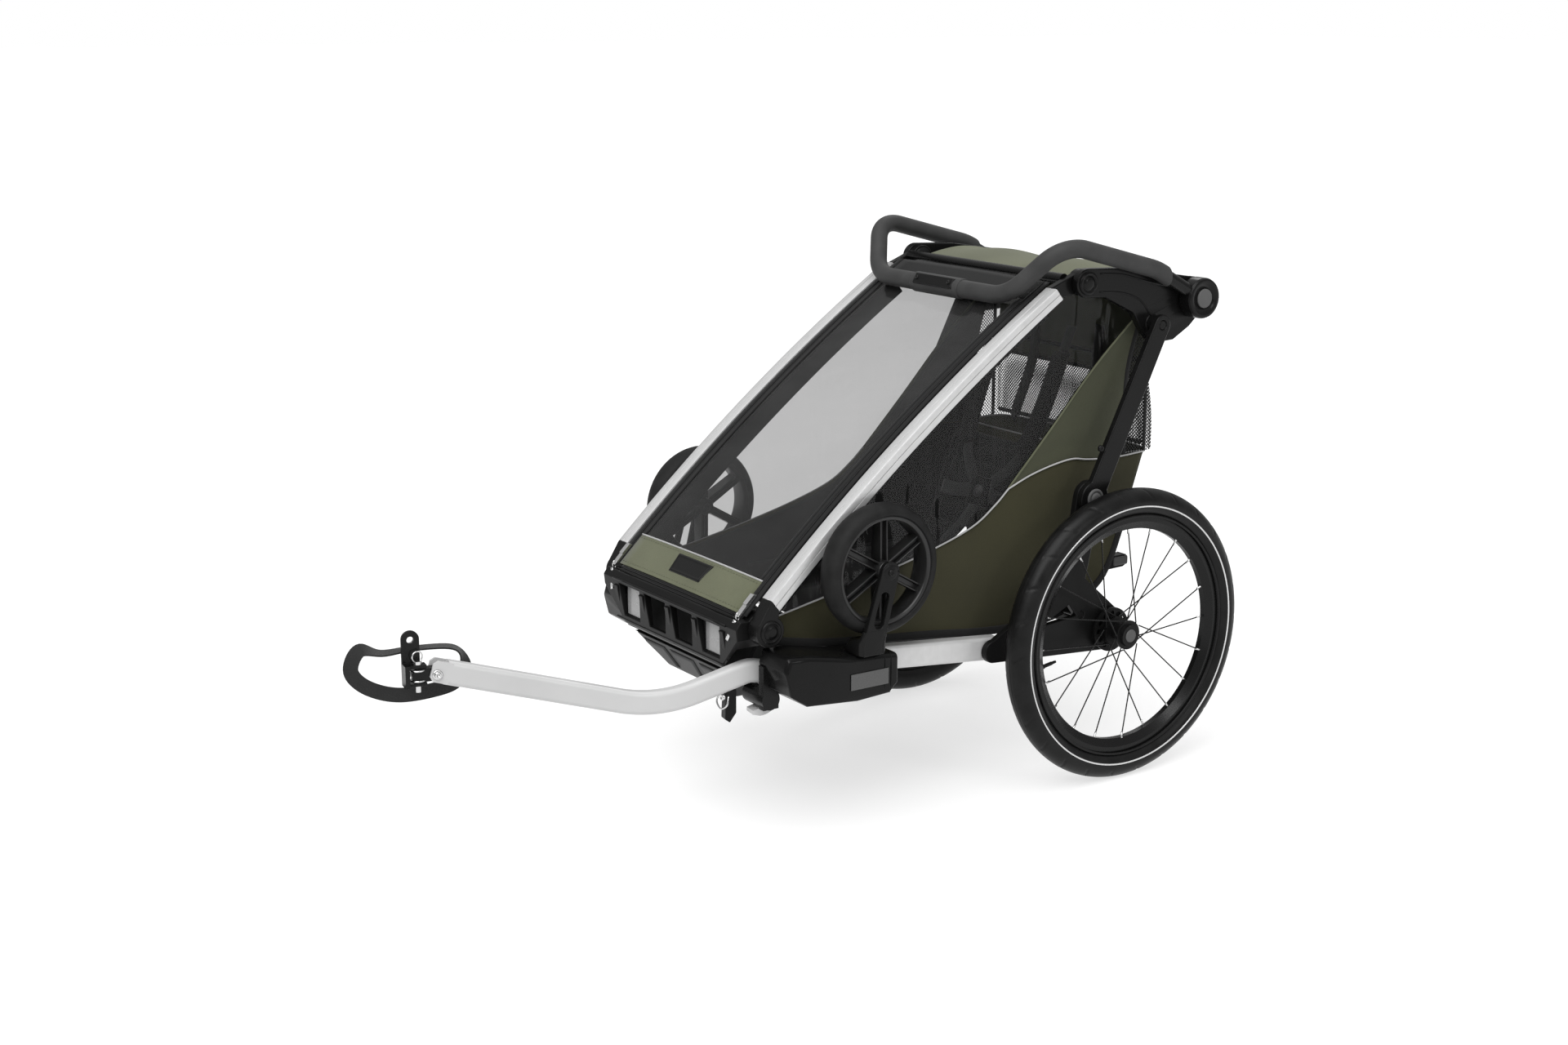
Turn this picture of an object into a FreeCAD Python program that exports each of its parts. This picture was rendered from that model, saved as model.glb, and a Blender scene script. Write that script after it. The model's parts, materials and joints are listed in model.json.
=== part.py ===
import FreeCAD, Part
import math
import os
import Sketcher
from FreeCAD import Placement, Rotation, Vector

# Child bicycle trailer. Frame: +Y runs from the hitch to the rear, +X is the trailer's left side,
# +Z is up, the tyres stand on Z = 0 and the origin is under the middle of the whole object.
# Lengths that end in _y are measured from the wheel axle, positive towards the rear.

doc = FreeCAD.newDocument("ChildBicycleTrailer")
sheet = doc.addObject("Spreadsheet::Sheet", "Sizes")

DRIVING_SIZES = {
    "axle_y": 525.5,
    # rear wheels, 20 inch
    "wheel_radius": 250,
    "wheel_half_track": 291,
    "tyre_section": 23.5,
    "spoke_radius": 1.1,
    "stub_radius": 6,
    "running_gap": 0.05,
    # frame joints, side view
    "front_joint_y": -675,
    "front_joint_z": 349,
    "top_joint_y": -55,
    "top_joint_z": 839,
    "rear_joint_y": -49,
    "rear_joint_z": 484,
    "link_joint_y": 89,
    "link_joint_z": 762,
    "handle_joint_y": 180,
    "handle_joint_z": 800,
    "hinge_pin_radius": 8,
    # layers across the width
    "cabin_half_width": 203,
    "pillar_inner_x": 207,
    "pillar_width": 28,
    "link_inner_x": 221.6,
    "link_width": 14.4,
    "plate_inner_x": 238,
    "plate_width": 12,
    "upright_inner_x": 251,
    "upright_width": 12,
    # front pillars
    "pillar_start": 32,
    "pillar_end": 735,
    "pillar_low": 13.5,
    "pillar_depth": 24,
    "pillar_bow": 17,
    "cover_thickness": 3,
    # side rails
    "rail_tall": 39,
    "rail_wide": 26,
    "rail_wall": 2,
    "rail_front_y": -465.5,
    "rail_front_z": 272,
    "rail_rear_y": -228,
    "rail_rear_z": 248.5,
    # stroller wheels, stored pointing up
    "stroller_radius": 105,
    "stroller_half_width": 21,
    "stroller_x": 263,
    "stroller_y": -492,
    "stroller_z": 429.5,
    "stem_y": -523,
    "stem_radius": 9,
    "collar_base_z": 301,
    # handlebar
    "handle_x": 252,
    "foam_radius": 15,
    "bar_radius": 11,
    "handle_hub_radius": 34.5,
    # hitch arm
    "arm_tip_x": 105,
    "arm_tip_y": -1158,
    "arm_tip_z": 338,
    "arm_yaw": 9.5,
    "arm_tall": 36,
    "arm_wide": 24,
    "bike_axle_radius": 5.1,
    # cabin and bag
    "seat_half_width": 172,
    "back_foot_y": -92,
    "back_foot_z": 372,
    "back_lean": 20.4,
    "back_height": 190,
    "bag_half_width": 196,
    "fabric_thickness": 3,
}

for row, (alias, value) in enumerate(DRIVING_SIZES.items(), start=1):
    sheet.set(f"A{row}", alias)
    sheet.set(f"B{row}", str(value))
    sheet.setAlias(f"B{row}", alias)
doc.recompute()


class Size:
    """A length that knows its value and the spreadsheet expression that it comes from."""

    def __init__(self, value, text):
        self.value = float(value)
        self.text = text

    def __add__(self, other):
        other = as_size(other)
        return Size(self.value + other.value, f"({self.text} + {other.text})")

    def __sub__(self, other):
        other = as_size(other)
        return Size(self.value - other.value, f"({self.text} - {other.text})")

    def __mul__(self, other):
        other = as_size(other)
        return Size(self.value * other.value, f"({self.text} * {other.text})")

    def __neg__(self):
        return Size(-self.value, f"(-{self.text})")

    def __float__(self):
        return self.value


def as_size(number):
    return number if isinstance(number, Size) else Size(number, f"({float(number):.6f})")


def cell(alias):
    return Size(sheet.get(alias), f"Sizes.{alias}")


def behind_axle(distance):
    """Y of a point this far behind the axle, or ahead of it if negative."""
    return cell("axle_y") + distance


def joint(name):
    """Side-view place (Y, Z) of a frame joint or another named point."""
    return behind_axle(cell(f"{name}_y")), cell(f"{name}_z")


def bind(thing, prop, size):
    thing.setExpression(prop, as_size(size).text)


def bind_place(thing, x, y, z):
    bind(thing, "Placement.Base.x", x)
    bind(thing, "Placement.Base.y", y)
    bind(thing, "Placement.Base.z", z)


NODES = []


def node(label, thing):
    """Names a finished sub-part, so that it is checked and written to its own file."""
    thing.Label = label
    NODES.append(thing)
    return thing


# ---------------------------------------------------------------- builders


def box(name, x, y, z):
    """A block between two limits along each axis."""
    block = doc.addObject("Part::Box", name)
    for prop, (low, high) in zip(("Length", "Width", "Height"), (x, y, z)):
        bind(block, prop, as_size(high) - low)
    bind_place(block, x[0], y[0], z[0])
    return block


def rod_across(name, radius, x_low, x_high, y, z):
    """A cylinder that lies along X."""
    rod = doc.addObject("Part::Cylinder", name)
    bind(rod, "Radius", radius)
    bind(rod, "Height", as_size(x_high) - x_low)
    rod.Placement = Placement(Vector(), Rotation(Vector(0, 1, 0), 90))
    bind_place(rod, x_low, y, z)
    return rod


def rod_upright(name, radius, x, y, z_low, z_high):
    rod = doc.addObject("Part::Cylinder", name)
    bind(rod, "Radius", radius)
    bind(rod, "Height", as_size(z_high) - z_low)
    bind_place(rod, x, y, z_low)
    return rod


def fused(name, *pieces):
    whole = doc.addObject("Part::MultiFuse", name)
    whole.Shapes = list(pieces)
    return whole


def cut(name, base, tool):
    rest = doc.addObject("Part::Cut", name)
    rest.Base = base
    rest.Tool = tool
    return rest


def rounded(name, base, radius, edge_test):
    """Rounds the edges of base that pass the test."""
    doc.recompute()
    smooth = doc.addObject("Part::Fillet", name)
    smooth.Base = base
    smooth.Edges = [(i, radius, radius) for i, edge in enumerate(base.Shape.Edges, 1) if edge_test(edge)]
    return smooth


def mirrored(name, source):
    """The same piece on the trailer's other side."""
    image = doc.addObject("Part::Mirroring", name)
    image.Source = source
    image.Normal = Vector(1, 0, 0)
    return image


def both_sides(label, *sources):
    """One node that holds left-side pieces and their mirror images as separate solids."""
    group = doc.addObject("Part::Compound", label)
    group.Links = list(sources) + [mirrored(f"{s.Name}_right", s) for s in sources]
    return node(label, group)


def left_and_right(name, source):
    """Two nodes: the left piece and its mirror image."""
    node(f"left_{name}", source)
    node(f"right_{name}", mirrored(f"right_{name}", source))


def origin_plane(body, role):
    return next(feature for feature in body.Origin.OriginFeatures if feature.Role == role)


def new_sketch(body, name, role, offset=0):
    """A sketch on one of its body's origin planes, moved along that plane's normal."""
    sketch = body.newObject("Sketcher::SketchObject", name)
    sketch.AttachmentSupport = [(origin_plane(body, role), "")]
    sketch.MapMode = "FlatFace"
    bind(sketch, "AttachmentOffset.Base.z", offset)
    return sketch


def flat(point):
    return Vector(float(point[0]), float(point[1]), 0)


def draw_outline(sketch, outline):
    """Draws a closed outline. Each entry is a corner, or (middle, corner) for an arc that ends there."""
    previous = outline[-1][1] if isinstance(outline[-1][0], tuple) else outline[-1]
    for step, entry in enumerate(outline):
        if isinstance(entry[0], tuple):
            middle, corner = entry
            curve = Part.Arc(flat(previous), flat(middle), flat(corner))
        else:
            corner = entry
            curve = Part.LineSegment(flat(previous), flat(corner))
        place = sketch.addGeometry(curve, False)
        if not isinstance(entry[0], tuple):
            for direction, value in zip(("DistanceX", "DistanceY"), corner):
                if isinstance(value, Size):
                    number = sketch.addConstraint(
                        Sketcher.Constraint(direction, -1, 1, place, 2, value.value)
                    )
                    sketch.setExpression(f"Constraints[{number}]", value.text)
        previous = corner


def draw_circle(sketch, centre, radius):
    place = sketch.addGeometry(Part.Circle(flat(centre), Vector(0, 0, 1), float(radius)), False)
    number = sketch.addConstraint(Sketcher.Constraint("Radius", place, float(radius)))
    if isinstance(radius, Size):
        sketch.setExpression(f"Constraints[{number}]", radius.text)


def pad(body, sketch, length):
    raised = body.newObject("PartDesign::Pad", f"{sketch.Name}Pad")
    raised.Profile = sketch
    bind(raised, "Length", length)
    return raised


def side_body(name, x_low, width, outlines=(), holes=(), bosses=()):
    """A plate or bar drawn in side view (Y, Z) and raised along X."""
    body = doc.addObject("PartDesign::Body", name)
    for number, outline in enumerate(outlines):
        sketch = new_sketch(body, f"{name}Outline{number}", "YZ_Plane", x_low)
        draw_outline(sketch, outline)
        pad(body, sketch, width)
    for number, (centre, radius) in enumerate(bosses):
        sketch = new_sketch(body, f"{name}Boss{number}", "YZ_Plane", x_low)
        draw_circle(sketch, centre, radius)
        pad(body, sketch, width)
    doc.recompute()
    for number, (centre, radius) in enumerate(holes):
        sketch = new_sketch(body, f"{name}Hole{number}", "YZ_Plane", x_low)
        draw_circle(sketch, centre, radius)
        pocket = body.newObject("PartDesign::Pocket", f"{name}HoleCut{number}")
        pocket.Profile = sketch
        pocket.Type = 1
        pocket.Midplane = True
    return body


def turned_body(name, outline, x, y, z):
    """A round piece: an outline of (place along X, radius) turned about X."""
    body = doc.addObject("PartDesign::Body", name)
    sketch = new_sketch(body, f"{name}Section", "XY_Plane")
    draw_outline(sketch, outline)
    turned = body.newObject("PartDesign::Revolution", f"{name}Turned")
    turned.Profile = sketch
    turned.ReferenceAxis = (sketch, ["H_Axis"])
    turned.Angle = 360
    bind_place(body, x, y, z)
    return body


def bar_outline(start, start_radius, end, end_radius):
    """A bar with round ends of two radii, as two straight flanks and two arcs."""
    a, b = flat(start), flat(end)
    along = (b - a).normalize()
    across = Vector(-along.y, along.x, 0)
    lean = math.asin((float(start_radius) - float(end_radius)) / (b - a).Length)
    sides = []
    for hand in (1, -1):
        out = along * math.sin(lean) + across * (hand * math.cos(lean))
        sides.append((a + out * float(start_radius), b + out * float(end_radius)))
    (a_left, b_left), (a_right, b_right) = [[(p.x, p.y) for p in side] for side in sides]
    tip_a = a - along * float(start_radius)
    tip_b = b + along * float(end_radius)
    return [b_left, ((tip_b.x, tip_b.y), b_right), a_right, ((tip_a.x, tip_a.y), a_left)]


def feature(name, shape):
    """A shape made directly with Part's functions, for swept and spoked pieces."""
    piece = doc.addObject("Part::Feature", name)
    piece.Shape = shape
    piece.Placement = Placement()
    return piece


def rounded_path(points, radii):
    """A wire of straight runs through the points, with an arc of its own radius at each corner."""
    edges = []
    start = points[0]
    for before, corner, after, radius in zip(points, points[1:], points[2:], radii):
        inward = (before - corner).normalize()
        outward = (after - corner).normalize()
        half_turn = inward.getAngle(outward) / 2
        reach = radius / math.tan(half_turn)
        centre = corner + (inward + outward).normalize() * (radius / math.sin(half_turn))
        middle = centre + (corner - centre).normalize() * radius
        edges.append(Part.LineSegment(start, corner + inward * reach).toShape())
        edges.append(Part.Arc(corner + inward * reach, middle, corner + outward * reach).toShape())
        start = corner + outward * reach
    edges.append(Part.LineSegment(start, points[-1]).toShape())
    return Part.Wire(edges)


def tube_along(wire, radius):
    """A solid round tube along a smooth wire."""
    first = wire.Edges[0]
    start = first.valueAt(first.FirstParameter)
    heading = first.tangentAt(first.FirstParameter)
    ring = Part.Wire(Part.makeCircle(float(radius), start, heading))
    return wire.makePipeShell([ring], True, False)


# ---------------------------------------------------------------- main places

AXLE = (cell("axle_y"), cell("wheel_radius"))
FRONT_JOINT = joint("front_joint")
TOP_JOINT = joint("top_joint")
REAR_JOINT = joint("rear_joint")
LINK_JOINT = joint("link_joint")
HANDLE_JOINT = joint("handle_joint")
BRAKE_PIVOT = behind_axle(-59), 282
BRAKE_PIN_REACH = 28
RUNNING_PIN = cell("hinge_pin_radius") + cell("running_gap")
HALF_WIDTH = cell("cabin_half_width")

# The pillar's own frame: X along the line from the front joint to the top joint, Y square to it
# and outwards, Z across the trailer.
PILLAR_ALONG = (flat(TOP_JOINT) - flat(FRONT_JOINT)).normalize()
PILLAR_LENGTH = (flat(TOP_JOINT) - flat(FRONT_JOINT)).Length
PILLAR_TURN = Rotation(
    Vector(0, PILLAR_ALONG.x, PILLAR_ALONG.y), Vector(0, -PILLAR_ALONG.y, PILLAR_ALONG.x), Vector(1, 0, 0)
)
PILLAR_MIDDLE = (cell("pillar_start") + cell("pillar_end")) * 0.5


def place_on_pillar(body):
    body.Placement = Placement(Vector(), PILLAR_TURN)
    bind_place(body, 0, *FRONT_JOINT)
    return body


def pillar_body(name, x_low, width, outlines):
    """A piece drawn in the pillar's own frame (along, outwards) and raised across the trailer."""
    body = doc.addObject("PartDesign::Body", name)
    for number, outline in enumerate(outlines):
        sketch = new_sketch(body, f"{name}Outline{number}", "XY_Plane", x_low)
        draw_outline(sketch, outline)
        pad(body, sketch, width)
    return place_on_pillar(body)


def bowed_outline(start, end, low, thickness):
    """A strip that follows the pillar's gentle outward bow."""
    bow = cell("pillar_bow").value
    chord = (cell("pillar_end") - cell("pillar_start")).value
    middle = PILLAR_MIDDLE.value

    def rise(place):
        return bow * (1 - ((place - middle) / (chord / 2)) ** 2)

    start, end, low = float(start), float(end), float(low)
    high = low + float(thickness)
    return [
        (start, low + rise(start)),
        ((middle, low + bow), (end, low + rise(end))),
        (end, high + rise(end)),
        ((middle, high + bow), (start, high + rise(start))),
    ]


# ---------------------------------------------------------------- rear wheels


def rear_tyre():
    """An open C section round the rim's bead seats."""
    section = cell("tyre_section").value
    ring = cell("wheel_radius").value - section
    inner = section - 3
    foot = math.radians(-50)

    def on_section(radius, angle):
        return radius * math.cos(angle), ring + radius * math.sin(angle)

    outline = [
        on_section(section, foot),
        ((0, ring + section), on_section(section, math.pi - foot)),
        on_section(inner, math.pi - foot),
        ((0, ring + inner), on_section(inner, foot)),
    ]
    left_and_right("tyre", turned_body("LeftTyre", outline, cell("wheel_half_track"), *AXLE))


def rear_rim():
    """A deep double-wall rim with a well for the tyre."""
    half, flange, well, wall, peak = 13, 207, 201, 197, 182
    outline = [
        (-half, flange), (-half, well - 6), (-5, peak), (5, peak), (half, well - 6), (half, flange),
        (half - 2, flange), (half - 2, well), (5, wall), (-5, wall), (2 - half, well), (2 - half, flange),
    ]
    left_and_right("rim", turned_body("LeftRim", outline, cell("wheel_half_track"), *AXLE))


HUB_FLANGES = (-18, 10)
HUB_FLANGE_RADIUS = 25


def rear_hub():
    """Hub shell with two spoke flanges, a bearing bore and a recess for the release button."""
    bore = cell("stub_radius") + cell("running_gap")
    inner, outer = HUB_FLANGES
    outline = [
        (-34, bore), (-34, 38), (-30, 38), (-30, 17), (inner - 1.5, 17), (inner - 1.5, HUB_FLANGE_RADIUS),
        (inner + 1.5, HUB_FLANGE_RADIUS), (inner + 1.5, 14), (outer - 1.5, 14),
        (outer - 1.5, HUB_FLANGE_RADIUS), (outer + 1.5, HUB_FLANGE_RADIUS), (outer + 1.5, 19),
        (18, 18), (18, 11.3), (9, 11.3), (9, bore),
    ]
    shell = turned_body("HubShell", outline, cell("wheel_half_track"), *AXLE)
    disc = cell("wheel_half_track") - 36, cell("wheel_half_track") - 29
    slots = []
    for number in range(12):
        angle = math.radians(30 * number)
        across, up = BRAKE_PIN_REACH * math.cos(angle), BRAKE_PIN_REACH * math.sin(angle)
        slots.append(rod_across(f"BrakeSlot{number}", 5, *disc, AXLE[0] + across, AXLE[1] + up))
    left_and_right("hub", cut("LeftHub", shell, fused("BrakeSlots", *slots)))


def hub_button():
    """Push button that lets the wheel off its stub axle; it travels 4 mm inwards."""
    outline = [(14, 0), (14, 11), (18, 11), (19, 10), (19, 0)]
    left_and_right("hub_button", turned_body("LeftHubButton", outline, cell("wheel_half_track"), *AXLE))


def spokes():
    """Twenty crossed spokes, ten from each flange, half of them leaning each way."""
    count = 10
    lean = math.radians(48)
    hub_radius, rim_radius = HUB_FLANGE_RADIUS + 1.5, 181
    x_wheel, (y_axle, z_axle) = cell("wheel_half_track").value, map(float, AXLE)
    rods = []
    for flange, rim_x in zip(HUB_FLANGES, (-3, 3)):
        for number in range(count):
            way = 1 if number % 2 else -1
            rim_angle = 2 * math.pi * (number + (0.5 if rim_x > 0 else 0)) / count
            hub_angle = rim_angle + way * lean
            ends = []
            for radius, angle, x in (
                (hub_radius, hub_angle, flange + way * 2),
                (rim_radius, rim_angle, rim_x + way * 1.4),
            ):
                ends.append(
                    Vector(x_wheel + x, y_axle + radius * math.cos(angle), z_axle + radius * math.sin(angle))
                )
            run = ends[1] - ends[0]
            rods.append(Part.makeCylinder(cell("spoke_radius").value, run.Length, ends[0], run))
    left_and_right("spokes", feature("LeftSpokes", Part.makeCompound(rods)))


# ---------------------------------------------------------------- lower frame


def axle_beam():
    """Cross beam with a stub axle at each end."""
    beam, stub = 15, cell("stub_radius")
    shoulder = cell("plate_inner_x") - 0.2
    tip = cell("wheel_half_track") + 7
    outline = [
        (-tip, 0), (-tip, stub), (-shoulder, stub), (-shoulder, beam), (shoulder, beam),
        (shoulder, stub), (tip, stub), (tip, 0),
    ]
    node("axle_beam", turned_body("AxleBeam", outline, 0, *AXLE))


def is_circle_of(radius):
    return lambda edge: hasattr(edge.Curve, "Radius") and abs(edge.Curve.Radius - radius) < 0.01


def rear_plates():
    """Castings that join each rail to the axle and carry the rear joint."""
    rail_end = behind_axle(cell("rail_rear_y") - 18), cell("rail_rear_z")
    elbow = behind_axle(-78), 334
    body = side_body(
        "LeftRearPlate",
        cell("plate_inner_x"),
        cell("plate_width"),
        outlines=[
            bar_outline(rail_end, 19, AXLE, 38),
            bar_outline(rail_end, 17, elbow, 24),
            bar_outline(AXLE, 37, elbow, 25),
            bar_outline(elbow, 23, REAR_JOINT, 28),
        ],
        holes=[
            (AXLE, cell("stub_radius") + 0.2),
            (BRAKE_PIVOT, 6.05),
            ((behind_axle(BRAKE_PIN_REACH), cell("wheel_radius")), 4.05),
        ],
    )
    both_sides("rear_plates", body)


def side_rails():
    """Rounded rectangular aluminium tubes along the cabin floor."""
    front = Vector(0, cell("rail_front_y").value, cell("rail_front_z").value)
    rear = Vector(0, cell("rail_rear_y").value, cell("rail_rear_z").value)
    run = rear - front
    body = doc.addObject("PartDesign::Body", "LeftRail")
    sketch = new_sketch(body, "RailSection", "XY_Plane")
    wide, tall, wall = (cell(f"rail_{part}").value for part in ("wide", "tall", "wall"))
    for inset in (0, wall):
        draw_outline(sketch, rounded_rectangle(wide / 2 - inset, tall / 2 - inset, 6 - inset))
    pad(body, sketch, run.Length)
    along = Vector(run.x, run.y, run.z).normalize()
    turn = Rotation(Vector(1, 0, 0), along.cross(Vector(1, 0, 0)), along)
    body.Placement = Placement(Vector(), turn)
    middle_x = cell("plate_inner_x") - cell("rail_wide") * 0.5
    bind_place(body, middle_x, behind_axle(cell("rail_front_y")), cell("rail_front_z"))
    both_sides("side_rails", body)


def rounded_rectangle(half_wide, half_tall, radius):
    """Outline of a rectangle with round corners about the sketch's origin."""
    outline = []
    inner_x, inner_y = half_wide - radius, half_tall - radius
    for quarter in range(4):
        start = quarter * math.pi / 2
        centre_x = inner_x * (1 if quarter in (0, 3) else -1)
        centre_y = inner_y * (1 if quarter in (0, 1) else -1)
        corner = [
            (centre_x + radius * math.cos(angle), centre_y + radius * math.sin(angle))
            for angle in (start, start + math.pi / 4, start + math.pi / 2)
        ]
        outline += [corner[0], (corner[1], corner[2])]
    return outline


def front_housings():
    """Moulded housings that hold the rail and the stroller wheel's socket."""
    left_x = cell("pillar_inner_x")
    width = cell("stroller_x") + 21 - left_x
    outer_x = (left_x + width).value
    outline = [
        (behind_axle(-680), 296), (behind_axle(-674), 317), (behind_axle(-636), 316),
        (behind_axle(-560), 301), (behind_axle(-500), 298), (behind_axle(-468), 294),
        (behind_axle(-468), 246), (behind_axle(-484), 231), (behind_axle(-545), 228),
        (behind_axle(-640), 236), (behind_axle(-670), 256),
    ]
    shell = side_body("HousingBlock", left_x, width, outlines=[outline])

    def is_upper_outer(edge):
        limits = edge.BoundBox
        return limits.XMin > outer_x - 1 and limits.ZMin > 290

    def is_other_outline(edge):
        limits = edge.BoundBox
        return limits.XLength < 1 and limits.ZMax < 292

    broad = rounded("HousingBroad", shell, 9, is_upper_outer)
    soft = rounded("HousingSoft", broad, 4, is_other_outline)
    socket = rod_upright(
        "StemSocket",
        cell("stem_radius") + cell("running_gap"),
        cell("stroller_x"),
        behind_axle(cell("stem_y")),
        240,
        320,
    )
    slot = box("TabSlot", (244.5, 265.5), (behind_axle(-480), behind_axle(-460)), (261.5, 278.5))
    both_sides("front_housings", cut("LeftHousing", soft, fused("HousingHoles", socket, slot)))


def release_tabs():
    """Finger tabs at the back of each housing that free the stroller wheel; they push in 4 mm."""
    tab = box("LeftTab", (245, 265), (behind_axle(-474.5), behind_axle(-462)), (262, 278))
    left_and_right("release_tab", tab)


def front_reflectors():
    """A strip on the outside of each housing and a plate behind each end window of the bumper."""
    strip = box(
        "LeftReflector",
        (cell("stroller_x") + 21.2, cell("stroller_x") + 23),
        (behind_axle(-560), behind_axle(-488)),
        (248, 274),
    )
    plate = box("LeftPlateReflector", (94, 152), (behind_axle(-705.8), behind_axle(-703)), (290, 348))
    both_sides("front_reflectors", strip, plate)


def front_bumper():
    """Channel across the front with four trapezoid windows, and an ear at each end for the hinge."""
    half = 206.5
    body = side_body(
        "Bumper",
        -half,
        2 * half,
        outlines=[
            [
                (behind_axle(-700), 268), (behind_axle(-712), 280), (behind_axle(-720), 352),
                (behind_axle(-712), 363), (behind_axle(-650), 363), (behind_axle(-650), 268),
            ]
        ],
        bosses=[(FRONT_JOINT, 25)],
    )
    doc.recompute()
    cavity = box("BumperCavity", (-186, 186), (behind_axle(-706), behind_axle(-640)), (260, 355))
    windows = []
    for number in range(4):
        middle = -123 + 82 * number
        sketch_body = doc.addObject("PartDesign::Body", f"Window{number}")
        sketch = new_sketch(sketch_body, f"WindowOutline{number}", "XZ_Plane")
        draw_outline(
            sketch, [(middle - 33, 346), (middle + 33, 346), (middle + 25, 292), (middle - 25, 292)]
        )
        pad(sketch_body, sketch, 60)
        bind_place(sketch_body, 0, behind_axle(-690), 0)
        windows.append(sketch_body)
    for hand in (-1, 1):
        corner_body = doc.addObject("PartDesign::Body", f"BumperCorner{hand + 1}")
        sketch = new_sketch(corner_body, f"BumperCornerOutline{hand + 1}", "XZ_Plane")
        draw_outline(sketch, [(hand * 140, 250), (hand * 140, 268), (hand * 210, 338), (hand * 240, 250)])
        pad(corner_body, sketch, 120)
        bind_place(corner_body, 0, behind_axle(-630), 0)
        windows.append(corner_body)
    bored = rod_across("BumperPinHole", cell("hinge_pin_radius") + 0.1, -half - 1, half + 1, *FRONT_JOINT)
    above = box("BumperCoverRoom", (-186, 186), (behind_axle(-740), behind_axle(-600)), (363, 400))
    node("front_bumper", cut("BumperOpen", body, fused("BumperCuts", cavity, bored, above, *windows)))


def front_hinge_pins():
    """Pins in the bumper's ears on which the pillars turn, each with a round cap."""
    head_x = cell("pillar_inner_x") + cell("pillar_width") + 0.3
    shank = rod_across("FrontPinShank", cell("hinge_pin_radius"), 188, head_x + 1, *FRONT_JOINT)
    head = rod_across("FrontPinHead", 18.5, head_x, head_x + 4, *FRONT_JOINT)
    both_sides("front_hinge_pins", fused("LeftFrontPin", shank, head))


def tapered_tray(name, low, high, wall):
    """An open tray: low and high are (half width, front, rear, height) of its floor and rim."""

    def wedge(label, inset, floor, rim):
        tray = doc.addObject("Part::Wedge", label)
        for prop, value in (
            ("Xmin", -low[0] + inset), ("Xmax", low[0] - inset),
            ("Zmin", -low[2] + inset), ("Zmax", -low[1] - inset), ("Ymin", floor),
            ("X2min", -high[0] + inset), ("X2max", high[0] - inset),
            ("Z2min", -high[2] + inset), ("Z2max", -high[1] - inset), ("Ymax", rim),
        ):
            setattr(tray, prop, value)
        tray.Placement = Placement(Vector(), Rotation(Vector(1, 0, 0), 90))
        bind_place(tray, 0, cell("axle_y"), 0)
        return tray

    outer = wedge(f"{name}Outer", 0, low[3], high[3])
    inner = wedge(f"{name}Inner", wall, low[3] + wall, high[3] + 0.01)
    return cut(name, outer, inner)


def footwell_hull():
    """Moulded tray under the child's feet, narrow at the floor and wide at the bumper."""
    node("footwell_hull", tapered_tray("Hull", (104, -655, -520, 206), (138, -700, -440, 266), 4))


def cabin_tub():
    """Fabric floor and low side walls between the rails."""
    node("cabin_tub", tapered_tray("Tub", (190, -436, -96, 262), (198, -438, -92, 335), 4))


# ---------------------------------------------------------------- folding frame


def pillars():
    """Bowed aluminium profiles either side of the front cover, each with a groove outside."""
    low, depth = cell("pillar_low"), cell("pillar_depth")
    bar = pillar_body(
        "PillarBar",
        cell("pillar_inner_x"),
        cell("pillar_width"),
        [bowed_outline(cell("pillar_start"), cell("pillar_end"), low, depth)],
    )
    soft = rounded("PillarSoft", bar, 4, lambda edge: edge.Length > 600)
    groove = pillar_body(
        "PillarGroove",
        cell("pillar_inner_x") + cell("pillar_width") - 1.5,
        5,
        [bowed_outline(0, 780, low + depth * 0.5 - 0.75, 1.5)],
    )
    both_sides("pillars", cut("LeftPillar", soft, groove))


def pillar_knuckles():
    """Moulded ends of the pillars: an eye on the front joint and an eye on the top joint."""
    inner_x, width = cell("pillar_inner_x"), cell("pillar_width")
    start, end = cell("pillar_start"), cell("pillar_end")
    low, high = cell("pillar_low").value, (cell("pillar_low") + cell("pillar_depth")).value
    foot = pillar_body(
        "FootKnuckle", inner_x, width, [[(start, high), (-6, 24), (4, -10), (start, low)]]
    )
    foot_eye = rod_across("FootEye", 25, inner_x, inner_x + width, *FRONT_JOINT)
    foot_bore = rod_across("FootBore", RUNNING_PIN, inner_x - 1, inner_x + width + 1, *FRONT_JOINT)
    head_width = cell("link_inner_x") - inner_x - 0.4
    length = PILLAR_LENGTH
    head = pillar_body(
        "HeadKnuckle", inner_x, head_width, [[(end, high), (end, low), (length, -20), (length + 14, 16)]]
    )
    head_eye = rod_across("HeadEye", 22, inner_x, inner_x + head_width, *TOP_JOINT)
    head_bore = rod_across("HeadBore", cell("hinge_pin_radius") + 0.1, inner_x - 1, 240, *TOP_JOINT)
    both_sides(
        "pillar_knuckles",
        cut("LeftFoot", fused("FootSolid", foot, foot_eye), foot_bore),
        cut("LeftHead", fused("HeadSolid", head, head_eye), head_bore),
    )


def top_hinge_pins():
    """Pins through the top joints, each with a round cap outside the link."""
    head_x = cell("link_inner_x") + cell("link_width") + 0.4
    radius = cell("hinge_pin_radius")
    shank = rod_across("TopPinShank", radius, cell("pillar_inner_x"), head_x + 1, *TOP_JOINT)
    head = rod_across("TopPinHead", 19.5, head_x, head_x + 4, *TOP_JOINT)
    both_sides("top_hinge_pins", fused("LeftTopPin", shank, head))


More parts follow.
